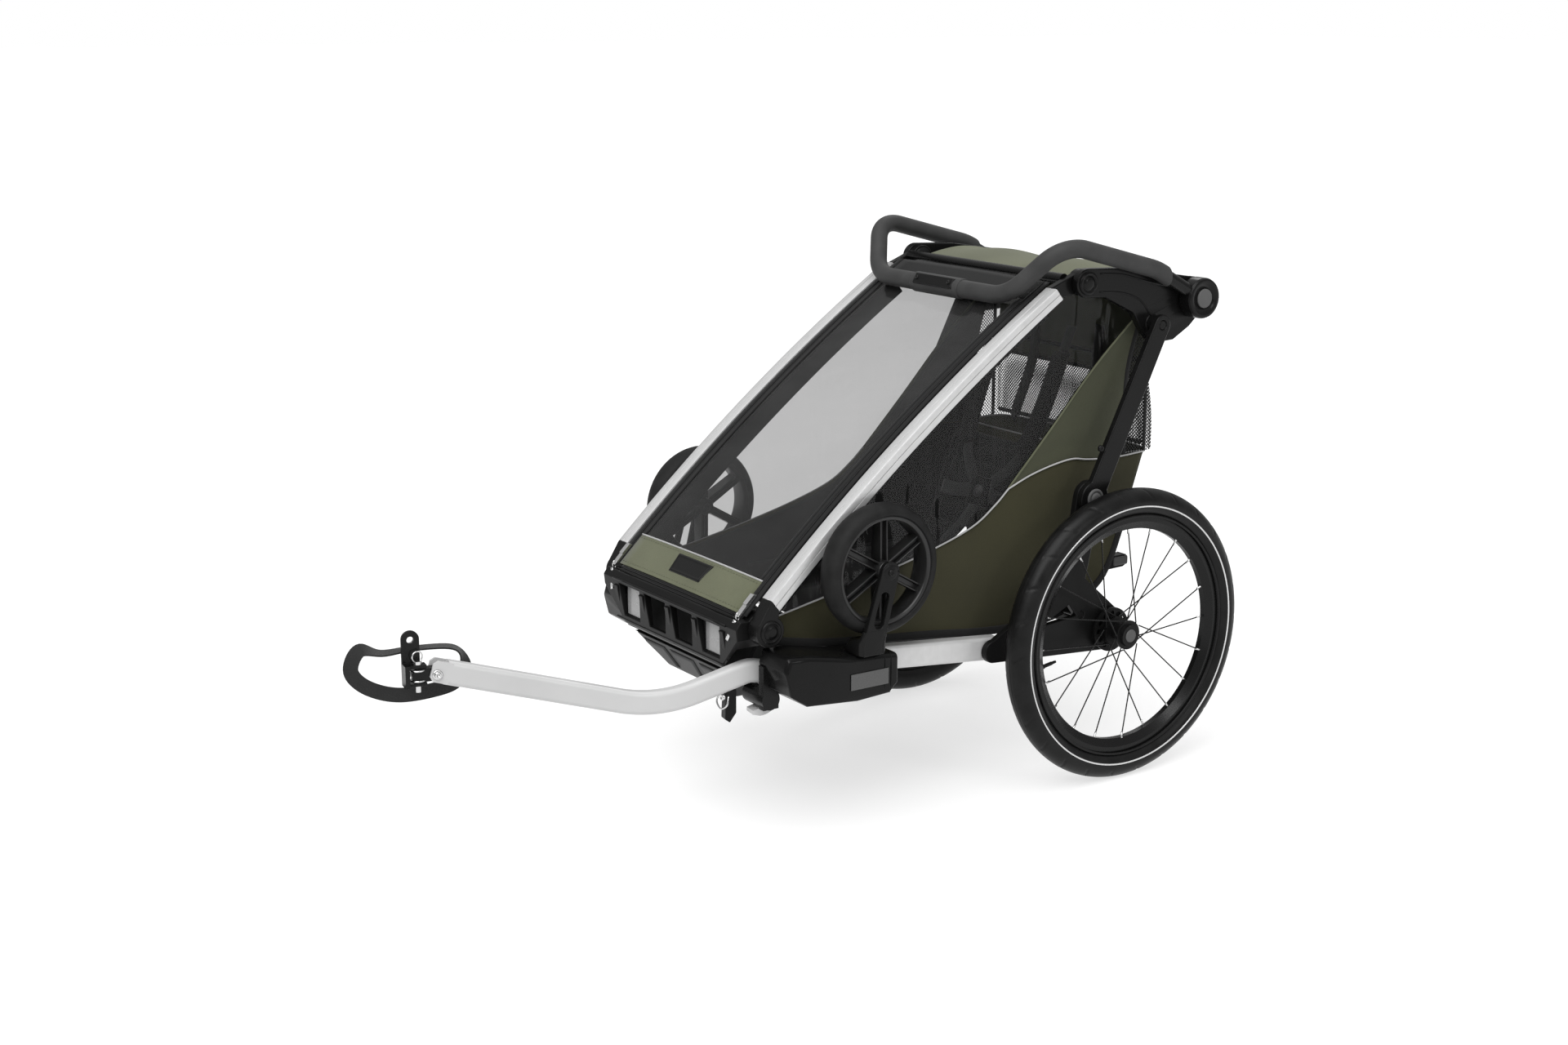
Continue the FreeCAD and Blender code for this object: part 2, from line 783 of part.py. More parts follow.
def front_crossbar():
    """Round bar between the pillars' heads, at the canopy's front hem."""
    x_end = cell("pillar_inner_x")
    bar = doc.addObject("Part::Cylinder", "FrontCrossbar")
    bind(bar, "Radius", 9)
    bind(bar, "Height", x_end * 2)
    bar.Placement = Placement(pillar_point(772, 22, -x_end.value), Rotation(Vector(0, 1, 0), 90))
    node("front_crossbar", bar)


def pillar_point(along, outwards, x):
    """World place of a point given in the pillar's own frame."""
    start = Vector(0, float(FRONT_JOINT[0]), float(FRONT_JOINT[1]))
    return start + PILLAR_TURN.multVec(Vector(along, outwards, x))


def front_cover():
    """Zipped front panel between the pillars, bowed like them."""
    strip = bowed_outline(-8, 750, 33, cell("cover_thickness"))
    node("front_cover", pillar_body("FrontCover", -HALF_WIDTH, HALF_WIDTH * 2, [strip]))


def zip_sliders():
    """Zip sliders with their pull tabs, which run up the cover beside each pillar."""
    body = [(8, 36.2), (8, 42), (28, 44), (32, 39)]
    pull = [(-14, 34), (-14, 37.4), (9, 40.4), (9, 36.6)]
    slider = pillar_body("LeftZip", 186, 10, [body, pull])
    left_and_right("zip_slider", slider)


def top_links():
    """Moulded links from the top joints back to the handlebar, with pins for the uprights and the bar."""
    inner_x, width = cell("link_inner_x"), cell("link_width")
    y_top, z_top = TOP_JOINT
    y_handle, z_handle = HANDLE_JOINT
    y_link, z_link = LINK_JOINT
    outline = [
        (y_top, z_top + 24), (y_top + 80, z_top + 20), (y_handle - 40, z_handle + 40),
        (y_handle, z_handle + 34), (y_handle + 20, z_handle - 28), (y_handle - 5, z_handle - 50),
        (y_link + 50, z_link - 32), (y_link + 4, z_link - 34), (y_link - 18, z_link - 16),
        (y_link - 44, z_link + 22), (y_top + 40, z_top - 26), (y_top, z_top - 24),
    ]
    body = side_body(
        "LinkPlate",
        inner_x,
        width,
        outlines=[outline],
        holes=[(TOP_JOINT, RUNNING_PIN)],
        bosses=[(TOP_JOINT, 24), (HANDLE_JOINT, 34)],
    )
    outer_x = inner_x + width
    link_pin = rod_across("LinkPin", cell("hinge_pin_radius"), inner_x + 2, 262.5, *LINK_JOINT)
    link_spacer = rod_across("LinkSpacer", 14, inner_x + 2, 250.5, *LINK_JOINT)
    handle_pin = rod_across("HandlePin", 10, inner_x + 2, outer_x + 14, *HANDLE_JOINT)
    both_sides("top_links", fused("LeftLink", body, link_pin, link_spacer, handle_pin))


def rear_crossbar():
    half = cell("link_inner_x")
    node("rear_crossbar", rod_across("RearCrossbar", 10, -half, half, behind_axle(140), 800))


def rear_uprights():
    """Flat bars from the link joints down to the rear joints."""
    inner_x, width = cell("upright_inner_x"), cell("upright_width")
    bar = side_body(
        "LeftUpright",
        inner_x,
        width,
        outlines=[bar_outline(LINK_JOINT, 17, REAR_JOINT, 19)],
        holes=[(LINK_JOINT, RUNNING_PIN)],
        bosses=[(REAR_JOINT, 29)],
    )
    both_sides("rear_uprights", bar)


# ---------------------------------------------------------------- handlebar


def handlebar_points():
    """The bar's centre line: up from the left hub, forward, in to the cross grip and back."""
    x = cell("handle_x").value
    y_hub, z_hub = map(float, HANDLE_JOINT)
    left = [
        Vector(x, y_hub - 26, z_hub + 14), Vector(x, y_hub - 100, z_hub + 54),
        Vector(x - 2, y_hub - 300, z_hub + 108), Vector(x - 76, y_hub - 357, z_hub + 20),
    ]
    return left + [Vector(-p.x, p.y, p.z) for p in reversed(left)]


HANDLE_BENDS = (120, 58, 72, 72, 58, 120)


def handlebar_tube():
    wire = rounded_path(handlebar_points(), HANDLE_BENDS)
    tube = tube_along(wire, cell("bar_radius") - 0.05).cut(tube_along(wire, cell("bar_radius") - 2))
    node("handlebar_tube", feature("HandlebarTube", tube))


def handlebar_grip():
    """Foam sleeve over the bar between its two collars."""
    wire = rounded_path(handlebar_points(), HANDLE_BENDS)
    sleeve = tube_along(wire, cell("foam_radius")).cut(tube_along(wire, cell("bar_radius")))
    reach = 60
    for x in (1, -1):
        hub = handlebar_points()[0]
        block = Part.makeBox(80, reach * 2, reach * 2, Vector(x * hub.x - 40, hub.y - 52, hub.z - reach))
        sleeve = sleeve.cut(block)
    node("handlebar_grip", feature("HandlebarGrip", sleeve))


def grip_clamp():
    """Sleeve with a flat on the cross grip that holds the bar's two halves together."""
    y_grip = HANDLE_JOINT[0] - 357
    z_grip = HANDLE_JOINT[1] + 20
    outer = rod_across("ClampOuter", cell("foam_radius") + 2.5, -64, 64, y_grip, z_grip)
    inner = rod_across("ClampInner", cell("foam_radius") + 0.1, -65, 65, y_grip, z_grip)
    node("grip_clamp", cut("GripClamp", outer, inner))


HANDLE_HUB_X = (237, 264)


def handlebar_hubs():
    """Round pivot housings at the bar's ends, with a recess for the release button."""
    x_low, x_high = HANDLE_HUB_X
    hub = rod_across("HubBlank", cell("handle_hub_radius"), x_low, x_high, *HANDLE_JOINT)
    soft = rounded("HubSoft", hub, 4, is_circle_of(cell("handle_hub_radius").value))
    bore = rod_across("HubBore", 10 + cell("running_gap").value, x_low - 1, x_low + 14, *HANDLE_JOINT)
    recess = rod_across("HubRecess", 16.5, x_low + 15.5, x_high + 1, *HANDLE_JOINT)
    both_sides("handlebar_hubs", cut("LeftHandleHub", soft, fused("HubHoles", bore, recess)))


def handlebar_buttons():
    """Buttons that unlock the handlebar's tilt; they travel 5 mm inwards."""
    button = rod_across("HandleButton", 16.2, 258, 266, *HANDLE_JOINT)
    left_and_right("handlebar_button", rounded("LeftHandleButton", button, 1.5, is_circle_of(16.2)))


# ---------------------------------------------------------------- stroller wheels


def stroller_tyre():
    radius, half = cell("stroller_radius").value, cell("stroller_half_width").value
    outline = [
        (-half + 3, radius - 17), (-half, radius - 9), (-half + 7, radius - 1.5),
        ((0, radius), (half - 7, radius - 1.5)),
        (half, radius - 9), (half - 3, radius - 17),
    ]
    place = cell("stroller_x"), behind_axle(cell("stroller_y")), cell("stroller_z")
    left_and_right("stroller_tyre", turned_body("LeftStrollerTyre", outline, *place))


def stroller_wheel():
    """Moulded rim, six spokes and a hub with a bore for its bolt."""
    radius, half = cell("stroller_radius").value - 17.3, cell("stroller_half_width").value
    place = cell("stroller_x"), behind_axle(cell("stroller_y")), cell("stroller_z")
    rim = [(2 - half, radius - 7), (2 - half, radius), (half - 2, radius), (half - 2, radius - 7)]
    ring = turned_body("StrollerRing", rim, *place)
    hub = turned_body("StrollerHub", [(-half, 5.05), (-half, 15), (half, 15), (half, 5.05)], *place)
    arms = []
    for number in range(6):
        arm = doc.addObject("Part::Box", f"StrollerArm{number}")
        arm.Length, arm.Width, arm.Height = 22, 9, radius - 16
        turn = Rotation(Vector(1, 0, 0), 60 * number)
        corner = turn.multVec(Vector(-11, -4.5, 12))
        arm.Placement = Placement(corner, turn)
        bind_place(arm, place[0] + corner.x, place[1] + corner.y, place[2] + corner.z)
        arms.append(arm)
    left_and_right("stroller_wheel", fused("LeftStrollerWheel", ring, hub, *arms))


def stroller_fork():
    """One-sided fork leg with a long window, its collar, its stem and the wheel's bolt."""
    x = cell("stroller_x")
    wheel = behind_axle(cell("stroller_y")), cell("stroller_z")
    foot = behind_axle(cell("stem_y")), cell("collar_base_z") + 20
    leg_x = x + cell("stroller_half_width") + 1.5
    leg = side_body("ForkLeg", leg_x, 9, outlines=[bar_outline(wheel, 17, foot, 20)])
    upper = behind_axle(-503), cell("stroller_z") - 38
    lower = behind_axle(-514), cell("stroller_z") - 78
    window = side_body("ForkWindow", leg_x - 1, 11, outlines=[bar_outline(upper, 8, lower, 9)])
    bolt = rod_across("ForkBolt", 5, x - 20, leg_x + 2, *wheel)
    bridge = box(
        "ForkBridge",
        (x - 10, leg_x + 9),
        (foot[0] - 20, foot[0] + 20),
        (cell("collar_base_z"), cell("collar_base_z") + 19),
    )
    collar = rod_upright(
        "ForkCollar", 20, x, behind_axle(cell("stem_y")), cell("collar_base_z"), cell("collar_base_z") + 19
    )
    stem = rod_upright(
        "ForkStem", cell("stem_radius"), x, behind_axle(cell("stem_y")), 244, cell("collar_base_z") + 1
    )
    solid = fused("ForkSolid", leg, bolt, bridge, collar, stem)
    left_and_right("stroller_fork", cut("LeftFork", solid, window))


# ---------------------------------------------------------------- parking brake


def brake_lever():
    """Foot lever beside the cabin: it pivots ahead of the axle and reaches back over it."""
    elbow = behind_axle(-52), 338
    tip = behind_axle(92), 340
    arms = [bar_outline(BRAKE_PIVOT, 20, elbow, 13), bar_outline(elbow, 13, tip, 11)]
    lever = side_body("LeverArms", 160, 22, outlines=arms)
    shaft = rod_across("LeverShaft", 6, 158, 249, *BRAKE_PIVOT)
    node("brake_lever", fused("BrakeLever", lever, shaft))


def brake_pins():
    """Pins that slide out of the rear plates into the slots of each hub's brake disc."""
    pin = rod_across("LeftBrakePin", 4, 230, 255.5, behind_axle(BRAKE_PIN_REACH), cell("wheel_radius"))
    left_and_right("brake_pin", pin)


# ---------------------------------------------------------------- hitch

ARM_YAW = math.radians(cell("arm_yaw").value)
ARM_ALONG = Vector(math.sin(ARM_YAW), math.cos(ARM_YAW), 0)
ARM_ACROSS = Vector(math.cos(ARM_YAW), -math.sin(ARM_YAW), 0)
ARM_TURN = Rotation(ARM_ALONG, Vector(0, 0, 1), ARM_ACROSS)
ARM_TIP = cell("arm_tip_x"), behind_axle(cell("arm_tip_y"))
HOOK_CENTRE = (497, 236)
HOOK_RING = 32
HOOK_BORE = 18


def hitch_body(name, low, width, outlines, holes=()):
    """A piece drawn in the arm's upright plane (along, Z); low is its near face across that plane."""
    body = doc.addObject("PartDesign::Body", name)
    for number, outline in enumerate(outlines):
        sketch = new_sketch(body, f"{name}Outline{number}", "XY_Plane", low)
        draw_outline(sketch, outline)
        pad(body, sketch, width)
    doc.recompute()
    for number, (centre, radius) in enumerate(holes):
        sketch = new_sketch(body, f"{name}Hole{number}", "XY_Plane", low)
        draw_circle(sketch, centre, radius)
        pocket = body.newObject("PartDesign::Pocket", f"{name}HoleCut{number}")
        pocket.Profile = sketch
        pocket.Type = 1
        pocket.Midplane = True
    body.Placement = Placement(Vector(), ARM_TURN)
    bind_place(body, *ARM_TIP, 0)
    return body


def left_of(direction):
    """The direction a quarter turn to the left."""
    return Vector(-direction.y, direction.x, 0)


def band_side(points, radii, half):
    """Outline along the left side of a path whose corners are rounded to these radii."""

    def pair(point):
        return point.x, point.y

    side = [pair(points[0] + left_of((points[1] - points[0]).normalize()) * half)]
    for before, corner, after, radius in zip(points, points[1:], points[2:], radii):
        way_in = (corner - before).normalize()
        way_out = (after - corner).normalize()
        hand = 1 if way_in.cross(way_out).z > 0 else -1
        reach = radius * math.tan(way_in.getAngle(way_out) / 2)
        centre = corner - way_in * reach + left_of(way_in) * (hand * radius)
        ring = (radius - hand * half) * hand
        outward = (corner - centre).normalize() * hand
        side.append(pair(centre - left_of(way_in) * ring))
        side.append((pair(centre + outward * ring), pair(centre - left_of(way_out) * ring)))
    side.append(pair(points[-1] + left_of((points[-1] - points[-2]).normalize()) * half))
    return side


def thick_path(points, radii, thickness):
    """Outline of a band of even thickness along a path: up its left side and back down its right."""
    half = thickness / 2
    return band_side(points, radii, half) + band_side(points[::-1], radii[::-1], half)


def hitch_arm():
    """Bent aluminium arm with two ears at the bike end and a nose over the hook at the other."""
    half = cell("arm_wide").value / 2
    tip_z = cell("arm_tip_z").value
    points = [Vector(0, tip_z, 0), Vector(330, 238, 0), Vector(482, 278, 0), Vector(532, 266, 0)]
    arm = hitch_body(
        "ArmTube", -half, 2 * half, [thick_path(points, [230, 40], cell("arm_tall").value)]
    )
    soft = rounded("ArmSoft", arm, 7, lambda edge: edge.BoundBox.YLength > edge.Length / 2)
    heading = (points[1] - points[0]).normalize()

    def on_ear(along, up):
        place = points[0] + heading * along + left_of(heading) * up
        return place.x, place.y

    corners = ((6, -16), (6, 16), (-17, 16), (-23, 10), (-23, -10), (-17, -16))
    outline = [on_ear(along, up) for along, up in corners]
    pin_hole = (-14, tip_z), 4.05
    ears = [
        hitch_body(f"ArmEar{number}", low, 4, [outline], holes=[pin_hole])
        for number, low in enumerate((-half, half - 4))
    ]
    node("hitch_arm", fused("HitchArm", soft, arm_hook(half), *ears))


def arm_hook(half):
    """The open ring under the arm's nose that closes round the receiver's pin."""
    along, z = HOOK_CENTRE
    mouth = along - 14
    outline = [
        (along, z + HOOK_BORE),
        ((along + HOOK_BORE, z), (along, z - HOOK_BORE)),
        (mouth, z - HOOK_BORE - 4),
        (mouth, z - HOOK_RING + 4),
        (along, z - HOOK_RING),
        ((along + HOOK_RING, z), (along, z + HOOK_RING)),
    ]
    hook = hitch_body("ArmHook", -half, 2 * half, [outline])
    return rounded("HookSoft", hook, 2, is_circle_of(HOOK_RING))


def hitch_receiver():
    """Cross pin under the left housing that the arm's hook closes round, with its hanger."""
    place = hitch_point(HOOK_CENTRE[0], 0, 0)
    pin = rod_across("ReceiverPin", 16.2, 166, 224, place.y, HOOK_CENTRE[1])
    hanger = box("ReceiverHanger", (211, 224), (place.y - 14, place.y + 14), (HOOK_CENTRE[1] - 15, 292))
    node("hitch_receiver", fused("HitchReceiver", pin, hanger))


def hitch_latch():
    """Black latch that hangs in front of the hook and closes it."""
    latch = hitch_body(
        "HitchLatch", -9, 18, [[(440, 252), (457, 252), (457, 214), (446, 199), (438, 205)]]
    )
    node("hitch_latch", latch)


COUPLER_Z = cell("arm_tip_z").value


def hitch_coupler():
    """Tongue between the arm's ears, with its cross pin and an eye for the upright pin."""
    outline = bar_outline((-14, COUPLER_Z), 10, (-40, COUPLER_Z), 10)
    tongue = hitch_body("CouplerTongue", -7.6, 15.2, [outline])
    pin = doc.addObject("Part::Cylinder", "CouplerPin")
    bind(pin, "Radius", 4)
    bind(pin, "Height", 30)
    pin.Placement = Placement(hitch_point(-14, -15, COUPLER_Z), Rotation(Vector(0, 0, 1), ARM_ACROSS))
    eye = hitch_rod("CouplerEye", 4 + 0.05, -40, 0, COUPLER_Z - 20, COUPLER_Z + 20)
    node("hitch_coupler", cut("HitchCoupler", fused("CouplerSolid", tongue, pin), eye))


def hitch_point(along, across, z):
    base = Vector(ARM_TIP[0].value, ARM_TIP[1].value, 0)
    return base + ARM_ALONG * along + ARM_ACROSS * across + Vector(0, 0, z)


def hitch_rod(name, radius, along, across, z_low, z_high):
    """An upright cylinder placed in the arm's frame."""
    place = hitch_point(along, across, 0)
    return rod_upright(name, radius, place.x, place.y, z_low, z_high)


def bike_adaptor():
    """Clevis that bolts to the bicycle's rear axle and holds the upright pin."""
    z = COUPLER_Z
    back = hitch_body("AdaptorBack", -12, 24, [adaptor_block(-61, -54, z - 17, z + 17)])
    upper_ear = hitch_body("AdaptorUpperEar", -7.5, 15, [adaptor_block(-55, -28, z + 11, z + 16)])
    lower_ear = hitch_body("AdaptorLowerEar", -7.5, 15, [adaptor_block(-55, -28, z - 16, z - 11)])
    plate = hitch_body(
        "AdaptorPlate",
        -12,
        5,
        [[(-61, z + 10), (-34, z + 14), (-34, z + 52), ((-47.5, z + 65), (-61, z + 52))]],
        holes=[((-47.5, z + 51), cell("bike_axle_radius"))],
    )
    hole = hitch_rod("AdaptorPinHole", 4.05, -40, 0, z - 30, z + 30)
    solid = fused("AdaptorSolid", back, upper_ear, lower_ear, plate)
    node("bike_adaptor", cut("BikeAdaptor", solid, hole))


def adaptor_block(along_low, along_high, z_low, z_high):
    return [(along_low, z_low), (along_high, z_low), (along_high, z_high), (along_low, z_high)]


def hitch_pin():
    """Quick-release pin with a round head; it lifts out."""
    shank = hitch_rod("HitchPinShank", 4, -40, 0, COUPLER_Z - 26, COUPLER_Z + 17)
    head = hitch_rod("HitchPinHead", 6.5, -40, 0, COUPLER_Z + 16.3, COUPLER_Z + 21)
    node("hitch_pin", fused("HitchPin", shank, head))


def safety_strap():
    """Webbing loop for the bicycle's chainstay, beside the coupler, on a ring through the arm."""
    z = COUPLER_Z
    points = [
        Vector(44, z - 2, 0), Vector(26, z + 26, 0), Vector(-60, z + 40, 0), Vector(-132, z + 50, 0),
        Vector(-146, z - 4, 0), Vector(-70, z - 42, 0), Vector(16, z - 36, 0), Vector(42, z - 10, 0),
    ]
    band = hitch_body("StrapBand", -53, 24, [thick_path(points, [30, 300, 24, 26, 90, 20], 2.5)])
    ring = doc.addObject("Part::Torus", "StrapRing")
    ring.Radius1 = 13
    ring.Radius2 = 2.2
    ring.Placement = Placement(hitch_point(38, -20, z - 21), Rotation(Vector(0, 0, 1), ARM_ALONG))
    node("safety_strap", fused("SafetyStrap", band, ring))


# ---------------------------------------------------------------- cabin and bag


def side_panels():
    """Fabric sides with their window, from the rail up to the top link."""
    z_floor = 340
    outline = [
        (behind_axle(-640), 352), (behind_axle(-600), z_floor), (behind_axle(-66), z_floor),
        (behind_axle(8), 345), (behind_axle(30), 545), (behind_axle(108), 545), (behind_axle(112), 772),
        (behind_axle(60), 800), (behind_axle(-50), 814), (behind_axle(-112), 800),
    ]
    inner_x = HALF_WIDTH - cell("fabric_thickness")
    both_sides("side_panels", side_body("LeftSidePanel", inner_x, cell("fabric_thickness"), [outline]))


def seat_base():
    half = cell("seat_half_width")
    cushion = box("SeatBaseBlank", (-half, half), (behind_axle(-345), behind_axle(-101)), (300, 350))
    node("seat_base", rounded("SeatBase", cushion, 14, lambda edge: True))


def on_seat_back(name, x, depth, height):
    """A block in the reclined frame of the seat back, whose front face is at depth 0."""
    block = doc.addObject("Part::Box", name)
    for prop, (low, high) in zip(("Length", "Width", "Height"), (x, depth, height)):
        bind(block, prop, as_size(high) - low)
    foot = Vector(0, behind_axle(cell("back_foot_y")).value, cell("back_foot_z").value)
    lean = Rotation(Vector(1, 0, 0), -cell("back_lean").value)
    corner = Vector(float(x[0]), float(depth[0]), float(height[0]))
    block.Placement = Placement(foot, lean).multiply(Placement(corner, Rotation()))
    return block


def seat_back():
    """Reclined back cushion, up to the middle of the child's back."""
    half = cell("seat_half_width")
    cushion = on_seat_back("SeatBackBlank", (-half, half), (0, 34), (0, cell("back_height")))
    node("seat_back", rounded("SeatBack", cushion, 12, lambda edge: True))


def harness():
    """Shoulder straps, hip strap and crotch strap that meet in one buckle."""
    straps = [on_seat_back("HipStrap", (-120, 120), (-4, -2), (62, 90))]
    for number, x in enumerate((-100, 70)):
        straps.append(on_seat_back(f"ShoulderStrap{number}", (x, x + 30), (-4, -2), (88, 400)))
    buckle = on_seat_back("Buckle", (-28, 28), (-20, -6), (50, 104))
    crotch = box("CrotchStrap", (-15, 15), (behind_axle(-225), behind_axle(-145)), (351, 354))
    group = doc.addObject("Part::Compound", "Harness")
    group.Links = straps + [buckle, crotch]
    node("harness", group)


def rear_panel():
    """Mesh back wall of the cabin above the bag."""
    half = cell("bag_half_width")
    node("rear_panel", box("RearPanel", (-half, half), (behind_axle(114), behind_axle(118)), (545, 782)))


def cargo_bag():
    """Open fabric bag behind the seat, narrowing down to the axle."""
    node("cargo_bag", tapered_tray("Bag", (112, -24, 62, 296), (196, 34, 140, 540), 3))


def canopy():
    """Crowned fabric roof from the front crossbar to the rear crossbar."""
    thickness = 4
    front = behind_axle(-68).value, 846
    crown = behind_axle(30).value, 861
    rear = behind_axle(152).value, 822
    lower = [(y, z - thickness) for y, z in (front, crown, rear)]
    half = HALF_WIDTH
    outline = [lower[0], (lower[1], lower[2]), rear, (crown, front)]
    node("canopy", side_body("Canopy", -half, half * 2, [outline]))


def build_all():
    for make in (
        rear_tyre, rear_rim, rear_hub, hub_button, spokes,
        axle_beam, rear_plates, side_rails, front_housings, release_tabs, front_reflectors,
        front_bumper, front_hinge_pins, footwell_hull, cabin_tub,
        pillars, pillar_knuckles, top_hinge_pins, front_crossbar, front_cover, zip_sliders,
        top_links, rear_crossbar, rear_uprights,
        handlebar_tube, handlebar_grip, grip_clamp, handlebar_hubs, handlebar_buttons,
        stroller_tyre, stroller_wheel, stroller_fork,
        brake_lever, brake_pins,
        hitch_arm, hitch_receiver, hitch_latch, hitch_coupler, bike_adaptor, hitch_pin, safety_strap,
        side_panels, seat_base, seat_back, harness, rear_panel, cargo_bag, canopy,
    ):
        make()
    doc.recompute()


def check_all():
    """Stops with a message if any object failed or any sub-part is not a sound solid."""
    bad = [f"{o.Label}: {o.State}" for o in doc.Objects if {"Invalid", "Error"} & set(o.State)]
    for thing in NODES:
        shape = thing.Shape
        if shape.isNull() or not shape.isValid() or not shape.Solids:
            bad.append(f"{thing.Label}: no sound solid")
    if bad:
        raise RuntimeError("\n".join(bad))


def write_all():
    os.makedirs("parts", exist_ok=True)
    for thing in NODES:
        thing.Shape.exportStep(f"parts/{thing.Label}.step")


build_all()
check_all()
write_all()
print(len(NODES), "sub-parts written")
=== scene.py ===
import json
import math

import bmesh
import bpy
from mathutils import Matrix, Vector


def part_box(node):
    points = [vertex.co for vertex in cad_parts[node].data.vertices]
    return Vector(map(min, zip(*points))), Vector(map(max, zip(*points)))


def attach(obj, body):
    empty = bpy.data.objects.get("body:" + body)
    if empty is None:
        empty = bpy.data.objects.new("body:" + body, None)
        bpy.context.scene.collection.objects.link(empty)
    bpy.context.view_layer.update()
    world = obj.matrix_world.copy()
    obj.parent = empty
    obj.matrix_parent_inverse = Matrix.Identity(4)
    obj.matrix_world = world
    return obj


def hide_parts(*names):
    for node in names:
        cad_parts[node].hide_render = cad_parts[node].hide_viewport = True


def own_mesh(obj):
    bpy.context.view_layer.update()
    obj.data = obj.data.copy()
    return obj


# A folding child trailer. Lengths are in metres, +Y runs from the hitch to the rear, +X is the
# trailer's left side and the tyres stand on Z = 0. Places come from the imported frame.

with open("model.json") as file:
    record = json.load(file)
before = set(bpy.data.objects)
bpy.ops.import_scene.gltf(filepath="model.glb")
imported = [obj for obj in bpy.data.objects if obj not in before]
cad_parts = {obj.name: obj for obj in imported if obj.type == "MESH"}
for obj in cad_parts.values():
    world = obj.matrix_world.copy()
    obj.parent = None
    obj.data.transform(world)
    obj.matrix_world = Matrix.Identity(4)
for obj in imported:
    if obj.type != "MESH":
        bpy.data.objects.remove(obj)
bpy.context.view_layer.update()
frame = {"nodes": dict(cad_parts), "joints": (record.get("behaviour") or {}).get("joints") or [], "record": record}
BODY_OF = {node: body for body, nodes in frame["record"]["behaviour"]["bodies"].items() for node in nodes}
SLOT_OF = {part["node"]: part["material_slot"] for part in frame["record"]["subparts"]}
JOINTS = {joint["name"]: joint for joint in frame["joints"]}


def middle(node):
    low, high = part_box(node)
    return (low + high) / 2


def joint_place(name):
    return Vector(JOINTS[name]["pos_m"])


AXLE = middle("axle_beam")
FRONT_JOINT = joint_place("frame_fold")
TOP_JOINT = joint_place("top_link_pivot")
HANDLE_JOINT = joint_place("handlebar_tilt")
COVER_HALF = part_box("front_cover")[1].x
SIDE_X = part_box("side_panels")[1].x
SIDES = (("left", 1), ("right", -1))


def at(y, z, x=0.0):
    """A point y metres behind the axle."""
    return Vector((x, AXLE.y + y, z))


# ------------------------------------------------------------ materials


class Shader:
    """A node material that is being put together round one Principled shader."""

    def __init__(self, name):
        self.material = bpy.data.materials.new(name)
        self.material.use_nodes = True
        self.tree = self.material.node_tree
        self.principled = self.tree.nodes["Principled BSDF"]
        self.place = self.node("TexCoord").outputs["Object"]

    def node(self, kind, inputs=None, **settings):
        made = self.tree.nodes.new(f"ShaderNode{kind}")
        for name, value in settings.items():
            setattr(made, name, value)
        for socket, value in (inputs or {}).items():
            self.feed(made.inputs[socket], value)
        return made

    def feed(self, socket, value):
        if isinstance(value, bpy.types.Node):
            value = value.outputs[0]
        if isinstance(value, bpy.types.NodeSocket):
            self.tree.links.new(value, socket)
        else:
            socket.default_value = value

    def surface(self, **inputs):
        for name, value in inputs.items():
            self.feed(self.principled.inputs[name.replace("_", " ")], value)

    def math(self, operation, a, b=0.0):
        return self.node("Math", {0: a, 1: b}, operation=operation)

    def spread(self, factor, low, high):
        """The factor's 0 to 1 as a value from low to high."""
        return self.node("MapRange", {"Value": factor, "To Min": low, "To Max": high})

    def noise(self, scale, detail=3.0, stretch=None):
        place = self.place
        if stretch:
            place = self.node("VectorMath", {0: place, 1: stretch}, operation="MULTIPLY")
        return self.node("TexNoise", {"Vector": place, "Scale": scale, "Detail": detail}).outputs["Fac"]

    def ramp(self, factor, *stops):
        """Colours along a factor: each stop is (place, colour)."""
        made = self.node("ValToRGB", {"Fac": factor})
        elements = made.color_ramp.elements
        while len(elements) < len(stops):
            elements.new(0.5)
        for element, (place, colour) in zip(elements, stops):
            element.position = place
            element.color = rgba(colour)
        return made.outputs["Color"]

    def bump(self, height, strength, distance):
        self.surface(
            Normal=self.node("Bump", {"Height": height, "Strength": strength, "Distance": distance})
        )

    def worn_and_lit_edges(self, reach=0.0016):
        """A factor that is high where the surface turns an edge, broken up by noise: marks of wear, and in plastic
        also a painted highlight.
        """
        rounded = self.node("Bevel", {"Radius": reach}, samples=4)
        flat = self.node("NewGeometry").outputs["Normal"]
        agreement = self.node("VectorMath", {0: rounded, 1: flat}, operation="DOT_PRODUCT").outputs["Value"]
        edge = self.node("MapRange", {"Value": agreement, "From Min": 0.99, "From Max": 0.86}).outputs[0]
        return self.math("MULTIPLY", edge, self.noise(160.0, 3.0))


def rgba(colour):
    if isinstance(colour, (int, float)):
        colour = (colour, colour, colour)
    return (*colour, 1.0)


def scaled(colour, factor):
    if isinstance(colour, (int, float)):
        return colour * factor
    return tuple(channel * factor for channel in colour)


def threads(shader, pitch):
    """Height of a plain weave whose threads lie pitch apart, laid along the way that the cloth faces."""
    scale = 2 * math.pi / (20 * pitch)
    wave = [
        shader.node(
            "TexWave", {"Vector": shader.place, "Scale": scale}, bands_direction=axis
        ).outputs["Fac"]
        for axis in "XYZ"
    ]
    facing = shader.node("SeparateXYZ", {0: shader.node("TexCoord").outputs["Normal"]})
    height = None
    for axis, (first, second) in enumerate(((1, 2), (0, 2), (0, 1))):
        crossed = shader.math("MULTIPLY", wave[first], wave[second])
        share = shader.math("MULTIPLY", facing.outputs[axis], facing.outputs[axis])
        part = shader.math("MULTIPLY", crossed, share)
        height = shader.math("ADD", height, part) if height else part
    return height


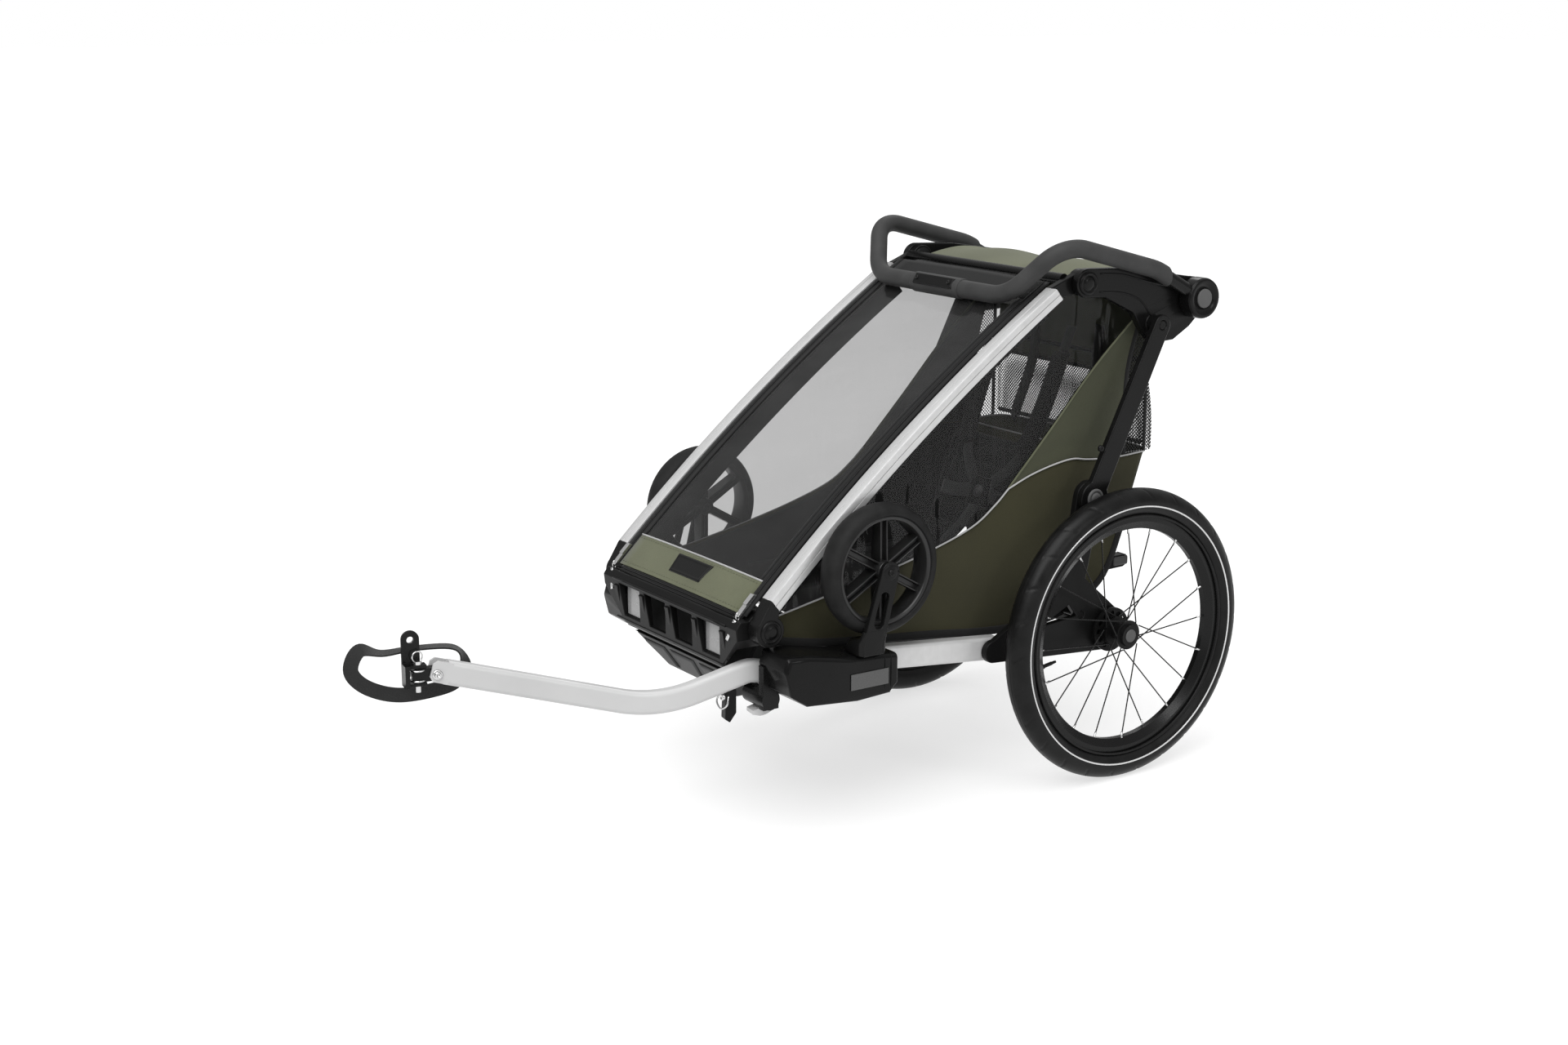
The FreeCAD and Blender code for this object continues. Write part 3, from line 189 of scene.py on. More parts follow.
def fabric(name, colour, pitch=0.0013, sheen=0.1, roughness=0.8, folds=3.0, gloss=0.25, relief=0.4):
    """Woven polyester: threads with painted shade between them, slight fading, lint and soft folds."""
    shader = Shader(name)
    weave = threads(shader, pitch)
    fade = shader.noise(6.0, 5.0)
    lint = shader.noise(700.0, 2.0)
    mixed = shader.math("ADD", shader.math("MULTIPLY", fade, 0.65), shader.math("MULTIPLY", lint, 0.35))
    # The weave's low places are painted darker: painted shade between the threads.
    between = shader.ramp(weave, (0.0, 0.78), (0.6, 1.0))
    cloth = shader.ramp(mixed, (0.32, scaled(colour, 0.78)), (0.68, scaled(colour, 1.2)))
    shader.surface(
        Base_Color=shader.node(
            "MixRGB", {"Fac": 1.0, "Color1": cloth, "Color2": between}, blend_type="MULTIPLY"
        ),
        Roughness=shader.spread(fade, roughness - 0.1, roughness + 0.1),
        Specular_IOR_Level=gloss,
        Sheen_Weight=sheen,
        Sheen_Roughness=0.5,
    )
    creases = shader.math("MULTIPLY", shader.noise(13.0, 3.0), folds)
    shader.bump(shader.math("ADD", shader.math("MULTIPLY", weave, relief), creases), 0.4, 0.0009)
    return shader.material


def webbing(name, colour, ribs=420.0):
    """Narrow woven strap with ribs across it."""
    shader = Shader(name)
    weave = threads(shader, 0.0016)
    fine = shader.noise(ribs * 3, 2.0)
    shader.surface(
        Base_Color=shader.ramp(fine, (0.3, scaled(colour, 0.6)), (0.7, scaled(colour, 1.4))),
        Roughness=shader.spread(fine, 0.6, 0.85),
        Specular_IOR_Level=0.3,
        Sheen_Weight=0.15,
    )
    shader.bump(shader.math("ADD", weave, fine), 0.6, 0.0007)
    return shader.material


def plastic(name, colour, roughness=0.42, grain=0.3, edge_lightening=3.0, gloss=0.25):
    """Moulded plastic with a fine grain, cloudy gloss and lighter edges: partly wear, partly a painted highlight.
    """
    shader = Shader(name)
    texture = shader.noise(1500.0, 2.0)
    cloud = shader.noise(8.0, 5.0)
    base = shader.ramp(cloud, (0.3, scaled(colour, 0.8)), (0.7, scaled(colour, 1.25)))
    # Edges lightened: partly wear, partly a painted highlight along the edges.
    worn_and_lit_colour = shader.node(
        "MixRGB", {"Fac": shader.worn_and_lit_edges(), "Color1": base, "Color2": rgba(scaled(colour, edge_lightening))}
    )
    shader.surface(
        Base_Color=worn_and_lit_colour,
        Roughness=shader.spread(cloud, roughness - 0.07, roughness + 0.09),
        Specular_IOR_Level=gloss,
    )
    shader.bump(texture, grain, 0.0002)
    return shader.material


def metal(name, colour, roughness=0.3, metallic=1.0, drawn=(1.0, 0.03, 0.03)):
    """Anodised or plated metal with fine drawn lines and faint handling marks."""
    shader = Shader(name)
    lines = shader.noise(2400.0, 2.0, stretch=drawn)
    marks = shader.noise(26.0, 5.0)
    mixed = shader.math("ADD", shader.math("MULTIPLY", lines, 0.6), shader.math("MULTIPLY", marks, 0.4))
    shader.surface(
        Base_Color=shader.ramp(mixed, (0.3, scaled(colour, 0.88)), (0.7, colour)),
        Metallic=metallic,
        Roughness=shader.spread(mixed, roughness - 0.12, roughness + 0.14),
    )
    shader.bump(lines, 0.15, 0.0001)
    return shader.material


def coated(name, colour, roughness=0.3, gloss=0.35, coat=0.15):
    """Powder coat: a faint orange peel under a clear gloss, scuffed at the edges."""
    shader = Shader(name)
    peel = shader.noise(480.0, 2.0)
    cloud = shader.noise(7.0, 4.0)
    base = shader.ramp(cloud, (0.3, scaled(colour, 0.9)), (0.7, colour))
    scuffed = rgba(0.45 if colour > 0.3 else colour * 4)
    shader.surface(
        Base_Color=shader.node(
            "MixRGB", {"Fac": shader.worn_and_lit_edges(0.001), "Color1": base, "Color2": scuffed}
        ),
        Roughness=shader.spread(peel, roughness - 0.05, roughness + 0.08),
        Specular_IOR_Level=gloss,
        Coat_Weight=coat,
        Coat_Roughness=0.15,
    )
    shader.bump(peel, 0.1, 0.0003)
    return shader.material


def clear_film(name, tint=0.012, cover=0.2, roughness=0.12, ripple=0.3, gloss=0.3):
    """Clear window film: mostly see-through, glossier at grazing angles, with soft ripples."""
    shader = Shader(name)
    edge_gloss = shader.node("Fresnel", {"IOR": 1.35})
    smudge = shader.noise(9.0, 4.0)
    fine = shader.noise(240.0, 2.0)
    film = shader.math("ADD", edge_gloss, shader.math("MULTIPLY", smudge, 0.05))
    shader.surface(
        Base_Color=shader.ramp(smudge, (0.3, scaled(tint, 0.8)), (0.7, scaled(tint, 1.3))),
        Roughness=shader.spread(smudge, roughness * 0.6, roughness * 1.5),
        Specular_IOR_Level=gloss,
        Alpha=shader.math("ADD", film, cover),
    )
    waves = shader.math(
        "ADD", shader.noise(11.0, 2.0, stretch=(1.0, 2.2, 0.6)), shader.math("MULTIPLY", fine, 0.001)
    )
    shader.bump(waves, ripple, 0.012)
    return shader.material


def rubber(name, colour, roughness=0.6, gloss=0.2):
    """Rubber with a dusty bloom."""
    shader = Shader(name)
    dust = shader.noise(38.0, 6.0)
    grain = shader.noise(1600.0, 2.0)
    shader.surface(
        Base_Color=shader.ramp(dust, (0.35, scaled(colour, 0.75)), (0.75, scaled(colour, 1.6))),
        Roughness=shader.spread(dust, roughness - 0.1, roughness + 0.12),
        Specular_IOR_Level=gloss,
    )
    shader.bump(grain, 0.35, 0.0003)
    return shader.material


def foam(name, colour):
    """Closed-cell foam: small pores and a faint bloom."""
    shader = Shader(name)
    pores = shader.node("TexVoronoi", {"Vector": shader.place, "Scale": 620.0}).outputs["Distance"]
    patch = shader.noise(26.0, 5.0)
    shader.surface(
        Base_Color=shader.ramp(patch, (0.3, scaled(colour, 0.8)), (0.7, scaled(colour, 1.2))),
        Roughness=shader.spread(patch, 0.55, 0.75),
        Specular_IOR_Level=0.3,
    )
    shader.bump(shader.math("ADD", pores, shader.noise(150.0, 3.0)), 0.45, 0.0004)
    return shader.material


def net(name, colour, pitch=0.0062, hole=0.4):
    """Knitted net: rows of round holes, every other row shifted by half a hole."""
    shader = Shader(name)
    split = shader.node("SeparateXYZ", {0: shader.place})
    along = shader.math("ADD", split.outputs["X"], split.outputs["Y"])
    up = shader.math("DIVIDE", split.outputs["Z"], pitch * 0.5)
    shift = shader.math("MULTIPLY", shader.math("FLOORED_MODULO", shader.math("FLOOR", up), 2.0), 0.5)
    across = shader.math("ADD", shader.math("DIVIDE", along, pitch), shift)
    offsets = [shader.math("SUBTRACT", shader.math("FRACT", across), 0.5)]
    offsets.append(shader.math("MULTIPLY", shader.math("SUBTRACT", shader.math("FRACT", up), 0.5), 0.62))
    squares = [shader.math("MULTIPLY", offset, offset) for offset in offsets]
    solid = shader.math("GREATER_THAN", shader.math("ADD", squares[0], squares[1]), (hole * 0.75) ** 2)
    yarn = shader.noise(420.0)
    shader.surface(
        Base_Color=shader.ramp(yarn, (0.3, scaled(colour, 0.7)), (0.7, scaled(colour, 1.4))),
        Roughness=shader.spread(yarn, 0.65, 0.9),
        Specular_IOR_Level=0.3,
        Alpha=solid,
    )
    shader.bump(shader.noise(1100.0, 2.0), 0.4, 0.0005)
    return shader.material


def reflective(name, colour, metallic=0.3, roughness=0.25):
    """Prismatic reflector: small bright cells under a clear face."""
    shader = Shader(name)
    cells = shader.node("TexVoronoi", {"Vector": shader.place, "Scale": 900.0}).outputs["Distance"]
    grime = shader.noise(30.0, 4.0)
    shader.surface(
        Base_Color=shader.ramp(cells, (0.0, scaled(colour, 1.12)), (0.7, scaled(colour, 0.88))),
        Metallic=metallic,
        Roughness=shader.spread(grime, roughness - 0.08, roughness + 0.12),
        Coat_Weight=0.5,
    )
    shader.bump(cells, 0.12, 0.0002)
    return shader.material


OLIVE = (0.113, 0.120, 0.074)
# The two darker olives below are copies of the same olive cloth, made darker for the upright sides: painted shade.
SHADED_SIDE_OLIVE = (0.036, 0.034, 0.015)
SHADED_REAR_OLIVE = (0.052, 0.055, 0.033)
MATERIALS = {
    "olive": fabric("olive_cloth", OLIVE),
    "shaded_side_olive": fabric("side_olive_cloth", SHADED_SIDE_OLIVE, sheen=0.05, folds=5.0),
    "shaded_rear_olive": fabric("rear_olive_cloth", SHADED_REAR_OLIVE, sheen=0.05, folds=4.0),
    "black_cloth": fabric("black_cloth", 0.009, sheen=0.05),
    "lining": fabric("lining_cloth", 0.010, folds=4.0, gloss=0.12, relief=0.1),
    "quilt": fabric("seat_cloth", 0.013, sheen=0.05, folds=2.0, gloss=0.12, relief=0.12),
    "piping": fabric("reflective_piping", 0.42, pitch=0.0008, roughness=0.4, folds=0.5),
    "film": clear_film("window_film", tint=0.03, cover=0.42),
    "side_film": clear_film("side_window_film", cover=0.17, roughness=0.05, ripple=0.9, gloss=0.8),
    "webbing": webbing("black_webbing", 0.009),
    "net": net("black_net", 0.010),
    "pillar": metal("pillar_aluminium", 0.58, 0.38, 0.45),
    "rail": metal("rail_aluminium", 0.57, 0.36, 0.35),
    "white_arm": coated("white_powder_coat", 0.50),
    "steel": metal("plated_steel", 0.66, 0.24, drawn=(1.0, 1.0, 0.1)),
    "dark_steel": coated("black_powder_coat", 0.005, 0.26, 0.16, 0.04),
    "black_plastic": plastic("black_plastic", 0.005, roughness=0.34, grain=0.15, gloss=0.12),
    "satin_plastic": plastic("satin_black_plastic", 0.005, roughness=0.25, grain=0.04, gloss=0.14),
    "hull_plastic": plastic("hull_plastic", 0.016, roughness=0.46),
    "grey_plastic": plastic("grey_plastic", 0.07, roughness=0.45, edge_lightening=1.6),
    "spoke_plastic": plastic("wheel_plastic", 0.012, roughness=0.3, gloss=0.35),
    "tyre": rubber("tyre_rubber", 0.005, roughness=0.36, gloss=0.16),
    "stroller_tyre": rubber("stroller_rubber", 0.009, roughness=0.6, gloss=0.15),
    "foam": foam("grip_foam", 0.032),
    "reflector": reflective("reflector", 0.035, 0.0),
    "pale_reflector": reflective("pale_reflector", 0.24, 0.0),
    "stripe": reflective("tyre_stripe", 0.62, 0.2),
}

# ------------------------------------------------------------ mesh helpers


def add_object(name, mesh):
    piece = bpy.data.objects.new(name, mesh)
    bpy.context.scene.collection.objects.link(piece)
    return piece


def mesh_piece(name, points, faces, material, smooth=True):
    mesh = bpy.data.meshes.new(name)
    mesh.from_pydata([tuple(point) for point in points], [], faces)
    mesh.update()
    if smooth:
        mesh.shade_smooth()
    mesh.materials.append(MATERIALS[material])
    return add_object(name, mesh)


def grid_piece(name, point, columns, rows, material, thickness=0.0):
    """A sheet of quads through point(u, v) for u and v from 0 to 1, given a thickness if wanted."""
    points = [point(i / columns, j / rows) for j in range(rows + 1) for i in range(columns + 1)]
    step = columns + 1
    faces = [
        (j * step + i, j * step + i + 1, (j + 1) * step + i + 1, (j + 1) * step + i)
        for j in range(rows)
        for i in range(columns)
    ]
    piece = mesh_piece(name, points, faces, material)
    if thickness:
        thicken = piece.modifiers.new("Thickness", "SOLIDIFY")
        thicken.thickness = thickness
        thicken.offset = 0
    return piece


def line_length(line):
    return sum((b - a).length for a, b in zip(line, line[1:]))


def cloth_sheet(name, point, columns, rows, material, thickness=0.0012):
    """A grid piece of cloth that keeps the flat size it was cut to: width, length and area."""
    piece = grid_piece(name, point, columns, rows, material, thickness)
    places = [vertex.co for vertex in piece.data.vertices]
    step = columns + 1
    width = max(line_length(places[j * step : (j + 1) * step]) for j in range(rows + 1))
    length = max(line_length(places[i::step]) for i in range(columns + 1))
    area = sum(face.area for face in piece.data.polygons)
    piece["flat"] = (width, length, min(area, width * length))
    return piece


def smooth_line(points, steps=8, closed=False):
    """A Catmull-Rom curve through the points."""
    points = [Vector(point) for point in points]
    count = len(points)
    line = []
    for index in range(count if closed else count - 1):
        start, end = points[index], points[(index + 1) % count]
        before = points[index - 1] if index or closed else start * 2 - end
        after = points[(index + 2) % count] if index + 2 < count or closed else end * 2 - start
        for step in range(steps):
            t = step / steps
            slope = (end - before) * t
            bend = (2 * before - 5 * start + 4 * end - after) * t * t
            twist = (3 * start - before - 3 * end + after) * t**3
            line.append(0.5 * (2 * start + slope + bend + twist))
    if not closed:
        line.append(points[-1])
    return line


def along_line(line, share):
    """The point at a share from 0 to 1 of a line's length."""
    left = share * line_length(line)
    for start, end in zip(line, line[1:]):
        length = (end - start).length
        if left <= length and length:
            return start.lerp(end, left / length)
        left -= length
    return line[-1].copy()


def swept(name, line, section, material, closed=False, up=None):
    """Sweeps a section of (across, up) offsets along a line, keeping up's direction or without twist."""
    count, sides = len(line), len(section)
    heading = (line[1] - line[0]).normalized()
    side = heading.orthogonal().normalized()
    points = []
    for index, centre in enumerate(line):
        ahead = line[(index + 1) % count] if closed or index + 1 < count else centre
        behind = line[index - 1] if closed or index else centre
        new_heading = (ahead - behind).normalized()
        if up:
            side = (Vector(up) - new_heading * Vector(up).dot(new_heading)).normalized()
        else:
            side = heading.rotation_difference(new_heading) @ side
        heading = new_heading
        across = side.cross(heading)
        points += [centre + across * a + side * b for a, b in section]
    faces = []
    for index in range(count if closed else count - 1):
        here, there = index * sides, (index + 1) % count * sides
        for k in range(sides):
            after = (k + 1) % sides
            faces.append((here + k, here + after, there + after, there + k))
    if not closed:
        faces.append(tuple(range(sides))[::-1])
        faces.append(tuple(range((count - 1) * sides, count * sides)))
    piece = mesh_piece(name, points, faces, material)
    repair_normals(piece)
    return piece


def repair_normals(piece):
    shape = bmesh.new()
    shape.from_mesh(piece.data)
    bmesh.ops.recalc_face_normals(shape, faces=shape.faces)
    shape.to_mesh(piece.data)
    shape.free()


def round_section(radius, sides=10):
    angles = [2 * math.pi * k / sides for k in range(sides)]
    return [(radius * math.cos(angle), radius * math.sin(angle)) for angle in angles]


def flat_section(width, thickness):
    """A strap's section with rounded edges, as wide as width across."""
    half, thin = width / 2, thickness / 2
    corner = half - thin
    return [
        (-half, 0), (-corner, -thin), (0, -thin), (corner, -thin), (half, 0), (corner, thin), (0, thin),
        (-corner, thin),
    ]


def upright_section(width, thickness):
    """A strap's section that is as wide as width along the sweep's up direction."""
    return [(b, a) for a, b in flat_section(width, thickness)]


def turned(name, profile, centre, material, segments=72, axis=(1, 0, 0), closed=False, shape=None):
    """Turns a profile of (place along the axis, radius) about an axis. Radius 0 makes a pole."""
    axis = Vector(axis).normalized()
    first = axis.orthogonal().normalized() if abs(axis.x) < 0.99 else Vector((0, 1, 0))
    second = axis.cross(first)
    rings, points = [], []
    for place, radius in profile:
        if radius < 1e-6:
            rings.append([len(points)] * segments)
            points.append(centre + axis * place)
            continue
        rings.append(list(range(len(points), len(points) + segments)))
        for step in range(segments):
            angle = 2 * math.pi * step / segments
            along, out = shape(place, radius, angle) if shape else (place, radius)
            points.append(
                centre + axis * along + (first * math.cos(angle) + second * math.sin(angle)) * out
            )
    faces = []
    pairs = list(zip(rings, rings[1:] + rings[:1]))
    for here, there in pairs if closed else pairs[:-1]:
        for step in range(segments):
            after = (step + 1) % segments
            corners = [here[step], here[after], there[after], there[step]]
            faces.append(tuple(dict.fromkeys(corners)))
    piece = mesh_piece(name, points, faces, material)
    repair_normals(piece)
    return piece


def block(name, centre, size, material, axes=None, taper=1.0):
    """A bevelled block: size along three axes, its far end along the third scaled by taper."""
    axes = axes or (Vector((1, 0, 0)), Vector((0, 1, 0)), Vector((0, 0, 1)))
    corners = []
    for k in (-1, 1):
        shrink = taper if k > 0 else 1.0
        for i, j in ((-1, -1), (1, -1), (1, 1), (-1, 1)):
            offset = axes[0] * (i * size[0] * shrink / 2) + axes[1] * (j * size[1] * shrink / 2)
            corners.append(centre + offset + axes[2] * (k * size[2] / 2))
    faces = [(3, 2, 1, 0), (4, 5, 6, 7)] + [(k, (k + 1) % 4, (k + 1) % 4 + 4, k + 4) for k in range(4)]
    piece = mesh_piece(name, corners, faces, material)
    repair_normals(piece)
    return bevelled(piece, min(size) * 0.22)


def bevelled(piece, width, segments=2, angle=35):
    """Rounds a piece's sharp edges over."""
    piece.data.set_sharp_from_angle(angle=math.radians(angle))
    bevel = piece.modifiers.new("Edges", "BEVEL")
    bevel.width = width
    bevel.segments = segments
    bevel.limit_method = "ANGLE"
    bevel.angle_limit = math.radians(angle)
    bevel.use_clamp_overlap = False
    bevel.harden_normals = True
    return piece


def settle(piece):
    """Applies a piece's modifiers to its mesh."""
    graph = bpy.context.evaluated_depsgraph_get()
    mesh = bpy.data.meshes.new_from_object(piece.evaluated_get(graph))
    old = piece.data
    piece.modifiers.clear()
    piece.data = mesh
    bpy.data.meshes.remove(old)
    return piece


def joined(name, pieces):
    """Joins pieces into one object that keeps each one's material."""
    shape = bmesh.new()
    materials = []
    for piece in pieces:
        settle(piece)
        first = len(shape.faces)
        shape.from_mesh(piece.data)
        shape.faces.ensure_lookup_table()
        material = piece.data.materials[0]
        if material not in materials:
            materials.append(material)
        for face in shape.faces[first:]:
            face.material_index = materials.index(material)
        bpy.data.objects.remove(piece)
    mesh = bpy.data.meshes.new(name)
    shape.to_mesh(mesh)
    shape.free()
    for material in materials:
        mesh.materials.append(material)
    return add_object(name, mesh)


def mirror_image(piece, name):
    """The same piece on the trailer's other side."""
    mesh = piece.data.copy()
    mesh.transform(Matrix.Diagonal((-1, 1, 1, 1)))
    mesh.flip_normals()
    image = add_object(name, mesh)
    if "flat" in piece:
        image["flat"] = list(piece["flat"])
    return image


def dress(piece, body, slot=None, replaces=(), held=None):
    """Fixes a finished piece to its body and hides the CAD nodes that it stands for."""
    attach(piece, body)
    if replaces:
        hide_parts(*replaces)
    if held:
        width, length, area = piece["flat"]
        area if area < 0.97 * width * length else None
    return piece


def on_both_sides(name, left, body, slot=None, held=None):
    """Rides a left piece and its mirror image on a body, or on each side's own body."""
    settle(left)
    right = mirror_image(left, f"{name}_right")
    left.name = f"{name}_left"
    for side, piece in (("left", left), ("right", right)):
        dress(piece, body.format(side=side), slot, held=held)
    return [left, right]


def screw(name, place, axis, radius, material="dark_steel"):
    """A screw's domed head with a round socket."""
    profile = [
        (-0.001, radius), (0.35 * radius, radius), (0.6 * radius, 0.82 * radius),
        (0.66 * radius, 0.5 * radius),
        (0.3 * radius, 0.46 * radius), (0.28 * radius, 0),
    ]
    return turned(name, profile, place, material, 24, axis)


def grooved_cap(name, place, radius, height, material, axis=(1, 0, 0)):
    """A round cap with a rounded rim and a ring groove about its raised middle."""
    profile = [
        (-0.002, radius), (height * 0.6, radius), (height * 0.9, radius - 0.0012), (height, radius - 0.003),
        (height, radius * 0.74), (height - 0.0016, radius * 0.71), (height - 0.0016, radius * 0.62),
        (height + 0.0002, radius * 0.57), (height + 0.0008, radius * 0.3), (height + 0.001, 0),
    ]
    return turned(name, profile, place, material, 64, axis)


def inflated(piece, voxel=0.006, pressure=4.0, cap=0.012):
    """Remeshes a closed blank and fills it with air in a short cloth simulation."""
    remesh = piece.modifiers.new("Remesh", "REMESH")
    remesh.mode = "VOXEL"
    remesh.voxel_size = voxel
    settle(piece)
    before = [vertex.co.copy() for vertex in piece.data.vertices]
    cloth = piece.modifiers.new("Cloth", "CLOTH")
    cloth.settings.quality = 4
    cloth.settings.use_pressure = True
    cloth.settings.uniform_pressure_force = pressure
    cloth.settings.effector_weights.gravity = 0
    cloth.point_cache.frame_end = 20
    for number in range(1, 21):
        bpy.context.scene.frame_set(number)
    settle(piece)
    for vertex, start in zip(piece.data.vertices, before):
        move = vertex.co - start
        if move.length > cap:
            vertex.co = start + move * (cap / move.length)
    bpy.context.scene.frame_set(1)
    divide = piece.modifiers.new("Divide", "SUBSURF")
    divide.levels = 1
    divide.render_levels = 1
    settle(piece)
    piece.data.shade_smooth()
    return piece


# ------------------------------------------------------------ CAD nodes that stay

FINISHES = {
    "steel": ("hitch_pin", "zip_slider", "brake_pin"),
    "dark_steel": (
        "rim", "spokes", "handlebar_tube", "front_crossbar", "rear_crossbar", "axle_beam", "hitch_receiver",
    ),
    "black_plastic": ("hub",),
    "grey_plastic": ("handlebar_button", "hub_button"),
    "foam": ("handlebar_grip",),
    "white_arm": ("hitch_arm",),
}
ROUNDED = {
    "pillar_knuckles": ("satin_plastic", 0.002),
    "side_rails": ("rail", 0.0012),
    "front_housings": ("satin_plastic", 0.003),
    "front_bumper": ("black_plastic", 0.0015),
    "footwell_hull": ("hull_plastic", 0.004),
    "top_links": ("satin_plastic", 0.0022),
    "handlebar_hubs": ("satin_plastic", 0.0015),
    "rear_plates": ("black_plastic", 0.002),
    "rear_uprights": ("satin_plastic", 0.002),
    "hitch_latch": ("black_plastic", 0.0015),
    "hitch_coupler": ("dark_steel", 0.0008),
    "bike_adaptor": ("dark_steel", 0.0007),
    "brake_lever": ("black_plastic", 0.001),
    "front_reflectors": ("reflector", 0.0006),
    "left_stroller_fork": ("satin_plastic", 0.0016),
    "right_stroller_fork": ("satin_plastic", 0.0016),
    "left_release_tab": ("grey_plastic", 0.0012),
    "right_release_tab": ("grey_plastic", 0.0012),
}


def finish_cad():
    """Gives each CAD node that stays in view its material."""
    for material, names in FINISHES.items():
        for name in names:
            for node in (name, f"left_{name}", f"right_{name}"):
                if node in frame["nodes"]:
                    mesh = frame["nodes"][node].data
                    mesh.materials.clear()
                    mesh.materials.append(MATERIALS[material])


def rounded_copy(node, material, width):
    """A copy of a hard-edged node whose sharp edges are rounded over, in the node's place."""
    shape = bmesh.new()
    shape.from_mesh(frame["nodes"][node].data)
    bmesh.ops.remove_doubles(shape, verts=shape.verts, dist=2e-6)
    bmesh.ops.dissolve_limit(shape, angle_limit=math.radians(1), verts=shape.verts, edges=shape.edges)
    mesh = bpy.data.meshes.new(f"{node}_rounded")
    shape.to_mesh(mesh)
    shape.free()
    mesh.shade_smooth()
    mesh.materials.append(MATERIALS[material])
    piece = bevelled(add_object(f"{node}_rounded", mesh), width)
    dress(piece, BODY_OF[node], SLOT_OF[node], [node])


# ------------------------------------------------------------ pillars and front cover

ALONG = (TOP_JOINT - FRONT_JOINT).normalized()
OUTWARDS = Vector((0, -ALONG.z, ALONG.y))
PILLAR_START, PILLAR_END, PILLAR_BOW = 0.032, 0.735, 0.017
COVER_LIFT = 0.036
COVER_START, COVER_END = -0.006, 0.748
PANEL_END = 0.056


def bow(along):
    """How far the pillars and the cover stand out from their chord."""
    half = (PILLAR_END - PILLAR_START) / 2
    centre = (PILLAR_END + PILLAR_START) / 2
    return PILLAR_BOW * (1 - ((along - centre) / half) ** 2)


def cover_point(x, along, lift=0.0):
    """A point on the front cover, which bows along the pillars and is crowned a little across."""
    crown = 0.004 * (1 - (x / COVER_HALF) ** 2)
    out = COVER_LIFT + bow(along) + crown + lift
    return Vector((x, FRONT_JOINT.y, FRONT_JOINT.z)) + ALONG * along + OUTWARDS * out


def cover_line(x, along, lift=0.0, steps=60):
    """A line on the cover from one (x, along) pair of limits to the other."""
    shares = [k / steps for k in range(steps + 1)]
    return [
        cover_point(x[0] + (x[1] - x[0]) * share, along[0] + (along[1] - along[0]) * share, lift)
        for share in shares
    ]


def cover_strip(name, x, along, material, thickness=0.0012, lift=0.0, columns=16, rows=40, puff=0.0):
    """A rectangle of the cover between two limits across and two along."""

    def point(u, v):
        swell = puff * math.sin(math.pi * u) * math.sin(math.pi * v)
        return cover_point(x[0] + (x[1] - x[0]) * u, along[0] + (along[1] - along[0]) * v, lift + swell)

    return cloth_sheet(name, point, columns, rows, material, thickness)


def pillars():
    """Drawn aluminium profiles: rounded corners, a groove outside and a raised track on top."""
    inner, outer = 0.207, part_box("pillars")[1].x
    low, high = 0.0135, 0.0375
    groove, corner = (low + high) / 2, 0.003
    section = [
        (inner, low + corner), (inner + 0.0008, low + 0.0008), (inner + corner, low),
        (outer - corner, low), (outer - 0.0008, low + 0.0008), (outer, low + corner),
        (outer, groove - 0.0012), (outer - 0.0016, groove - 0.0006), (outer - 0.0016, groove + 0.0006),
        (outer, groove + 0.0012), (outer, high - corner), (outer - 0.0008, high - 0.0008),
        (outer - corner, high),
        (outer - 0.011, high), (outer - 0.0116, high - 0.0012), (outer - 0.0134, high - 0.0012),
        (outer - 0.014, high),
        (inner + corner, high), (inner + 0.0008, high - 0.0008), (inner, high - corner),
    ]
    steps = 90
    points, faces = [], []
    for k in range(steps + 1):
        along = PILLAR_START + (PILLAR_END - PILLAR_START) * k / steps
        for x, out in section:
            place = FRONT_JOINT + ALONG * along + OUTWARDS * (out + bow(along))
            points.append(Vector((x, place.y, place.z)))
    sides = len(section)
    for k in range(steps):
        for i in range(sides):
            after = (i + 1) % sides
            faces.append((k * sides + i, k * sides + after, (k + 1) * sides + after, (k + 1) * sides + i))
    faces += [tuple(range(sides)), tuple(range(steps * sides, (steps + 1) * sides))]
    pillar = mesh_piece("pillar", points, faces, "pillar")
    repair_normals(pillar)
    pillar.data.set_sharp_from_angle(angle=math.radians(40))
    pair = on_both_sides("pillar", pillar, BODY_OF["pillars"], "bare_aluminium")
    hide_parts("pillars")


def front_cover():
    body = BODY_OF["front_cover"]
    window = cover_strip("cover_window", (-0.187, 0.187), (0.052, 0.706), "film", 0)
    panel = cover_strip(
        "cover_panel", (-0.183, 0.183), (COVER_START, PANEL_END), "olive", 0.0016, 0.0006, puff=0.002
    )
    header = cover_strip(
        "cover_header", (-0.19, 0.19), (0.70, COVER_END), "black_cloth", 0.002, 0.0004, rows=6
    )
    tape = cover_strip(
        "cover_tape", (0.177, 0.203), (COVER_START, COVER_END), "black_cloth", 0.0022, columns=4, rows=60
    )
    dress(window, body, "clear_window", ["front_cover"], held="stretched")
    dress(panel, body, "olive_fabric", held="stretched")
    dress(header, body, "black_fabric", held="stretched")
    on_both_sides("cover_tape", tape, body, "black_fabric", held="stretched")


def cover_zips():
    """Zip teeth beside the pillars: a toothed cord whose height swells at each tooth."""
    teeth = 250
    points = cover_line((0.191, 0.191), (COVER_START, COVER_END), 0.0016, 2 * teeth)
    section = [(-0.0026, 0), (-0.002, 0.0014), (0.002, 0.0014), (0.0026, 0)]
    cord = swept("zip", points, section, "satin_plastic", up=OUTWARDS)
    for index, vertex in enumerate(cord.data.vertices):
        if index // len(section) % 2 and index % len(section) in (1, 2):
            vertex.co -= OUTWARDS * 0.0011
    on_both_sides("zip_teeth", cord, BODY_OF["front_cover"], "black_plastic")


